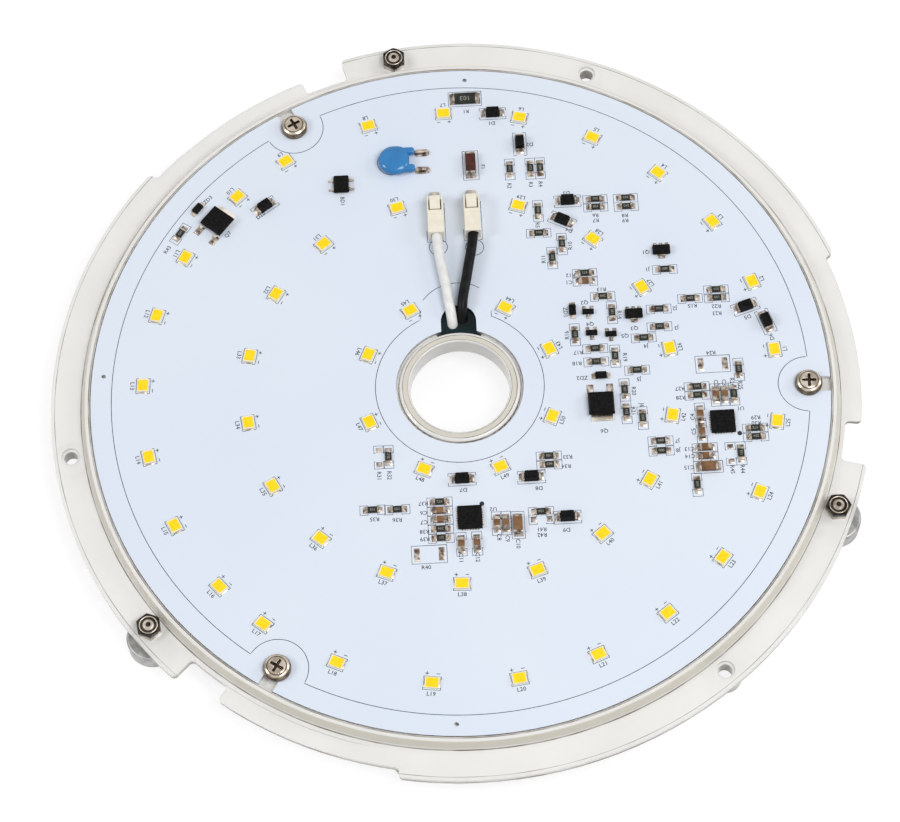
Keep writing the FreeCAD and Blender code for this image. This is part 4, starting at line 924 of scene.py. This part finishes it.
def screw_sockets(tree):
    """Painted light on the dome of the head, and painted shade, dark brown, down its side and in the
    recess.
    """
    up = facing_up(tree)
    worn = grain(tree, 500, 3).ramp(0.3, 0.7)
    dome = mixed(tree, worn, (0.34, 0.28, 0.22, 1), (0.62, 0.55, 0.46, 1))
    side = mixed(tree, worn, (0.10, 0.07, 0.05, 1), (0.30, 0.24, 0.18, 1))
    # The floor of the recess is painted near black as painted shade.
    recess = (up > 0.93) * (height_in(tree) < SCREW_TOP - RECESS_DEPTH * MM)
    dark = mixed(tree, up.ramp(0.45, 0.85), side, dome)
    return {"Base Color": mixed(tree, recess, dark, (0.05, 0.035, 0.025, 1)), "Metallic": 1.0,
            "Roughness": worn * 0.1 + 0.2, "Normal": bump(tree, worn, 0.02 * MM, 0.5)}


def circle_places(radius, turns, height):
    """Places on a circle round the bore, one at each angle."""
    places = []
    for turn in turns:
        angle = math.radians(turn)
        places.append(place_at((radius * math.cos(angle), radius * math.sin(angle)), 0, height))
    return places


dress("board_screws", 0.12, principled("screw_nickel", screw_sockets))
# Painted shade: a thin dark ring round the rim of each head.
rim_shade = speckled("rim_shade", (0.06, 0.04, 0.03), (0.16, 0.12, 0.09), 0.3, 600, 0.02, Metallic=1.0)
bpy.ops.mesh.primitive_torus_add(major_radius=2.3 * MM, minor_radius=0.2 * MM, major_segments=48,
                                 minor_segments=10, location=(0, 0, -0.32 * MM))
bpy.ops.object.shade_smooth()
finish_piece(scatter(bpy.context.object, circle_places(SCREW_CIRCLE * MM, SCREW_TURNS, SCREW_TOP)),
             "screw_shade_rings", rim_shade, "nickel_plate")

# Magnets: zinc plated steel cups with a ring magnet in each, held by countersunk bolts and hex
# nuts of darker nickel.
zinc = speckled("zinc_plate", (0.26, 0.26, 0.26), (0.50, 0.50, 0.49), 0.36, 350, 0.03, Metallic=0.9)
dark_nickel = speckled("dark_nickel", (0.010, 0.008, 0.007), (0.07, 0.058, 0.048), 0.2, 300, 0.03,
                       Metallic=1.0)
for number in (1, 2, 3):
    dress(f"magnet_cup_{number}", 0.15, zinc)
    dress(f"magnet_ring_{number}", 0.12, nickel)
dress("magnet_bolts", 0.15, nickel)
NUT_TOP, BOLT_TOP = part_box("hex_nuts")[1][2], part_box("magnet_bolts")[1][2]
BOLT_CIRCLE, BOLT_TURNS = 0.097995, (97.4, 217.4, 337.4)


def nut_sockets(tree):
    """Black on top, and pale low on the sides, where the white plate is mirrored: a painted reflection.
    """
    height = height_in(tree)
    worn = grain(tree, 420, 3).ramp(0.3, 0.7)
    black = mixed(tree, worn, (0.010, 0.008, 0.007, 1), (0.06, 0.05, 0.04, 1))
    bright = mixed(tree, worn, (0.30, 0.26, 0.22, 1), (0.80, 0.77, 0.72, 1))
    return {"Base Color": mixed(tree, height.ramp(NUT_TOP - 1.5 * MM, NUT_TOP - 0.8 * MM), bright, black),
            "Metallic": 1.0, "Roughness": worn * 0.1 + 0.15, "Normal": bump(tree, worn, 0.02 * MM, 0.5)}


dress("hex_nuts", 0.2, principled("nut_nickel", nut_sockets))
nut_places = circle_places(BOLT_CIRCLE, BOLT_TURNS, NUT_TOP)
bpy.ops.mesh.primitive_torus_add(major_radius=2.15 * MM, minor_radius=0.16 * MM, major_segments=48,
                                 minor_segments=10)
bpy.ops.object.shade_smooth()
finish_piece(scatter(bpy.context.object, nut_places), "nut_chamfers", nickel, "dark_nickel")
bpy.ops.mesh.primitive_cone_add(vertices=32, radius1=0.3 * MM, radius2=0.62 * MM, depth=0.03 * MM,
                                location=(0, 0, BOLT_TOP - NUT_TOP))
bpy.ops.object.transform_apply()
finish_piece(scatter(bpy.context.object, nut_places), "bolt_dimples", dark_nickel, "dark_nickel")
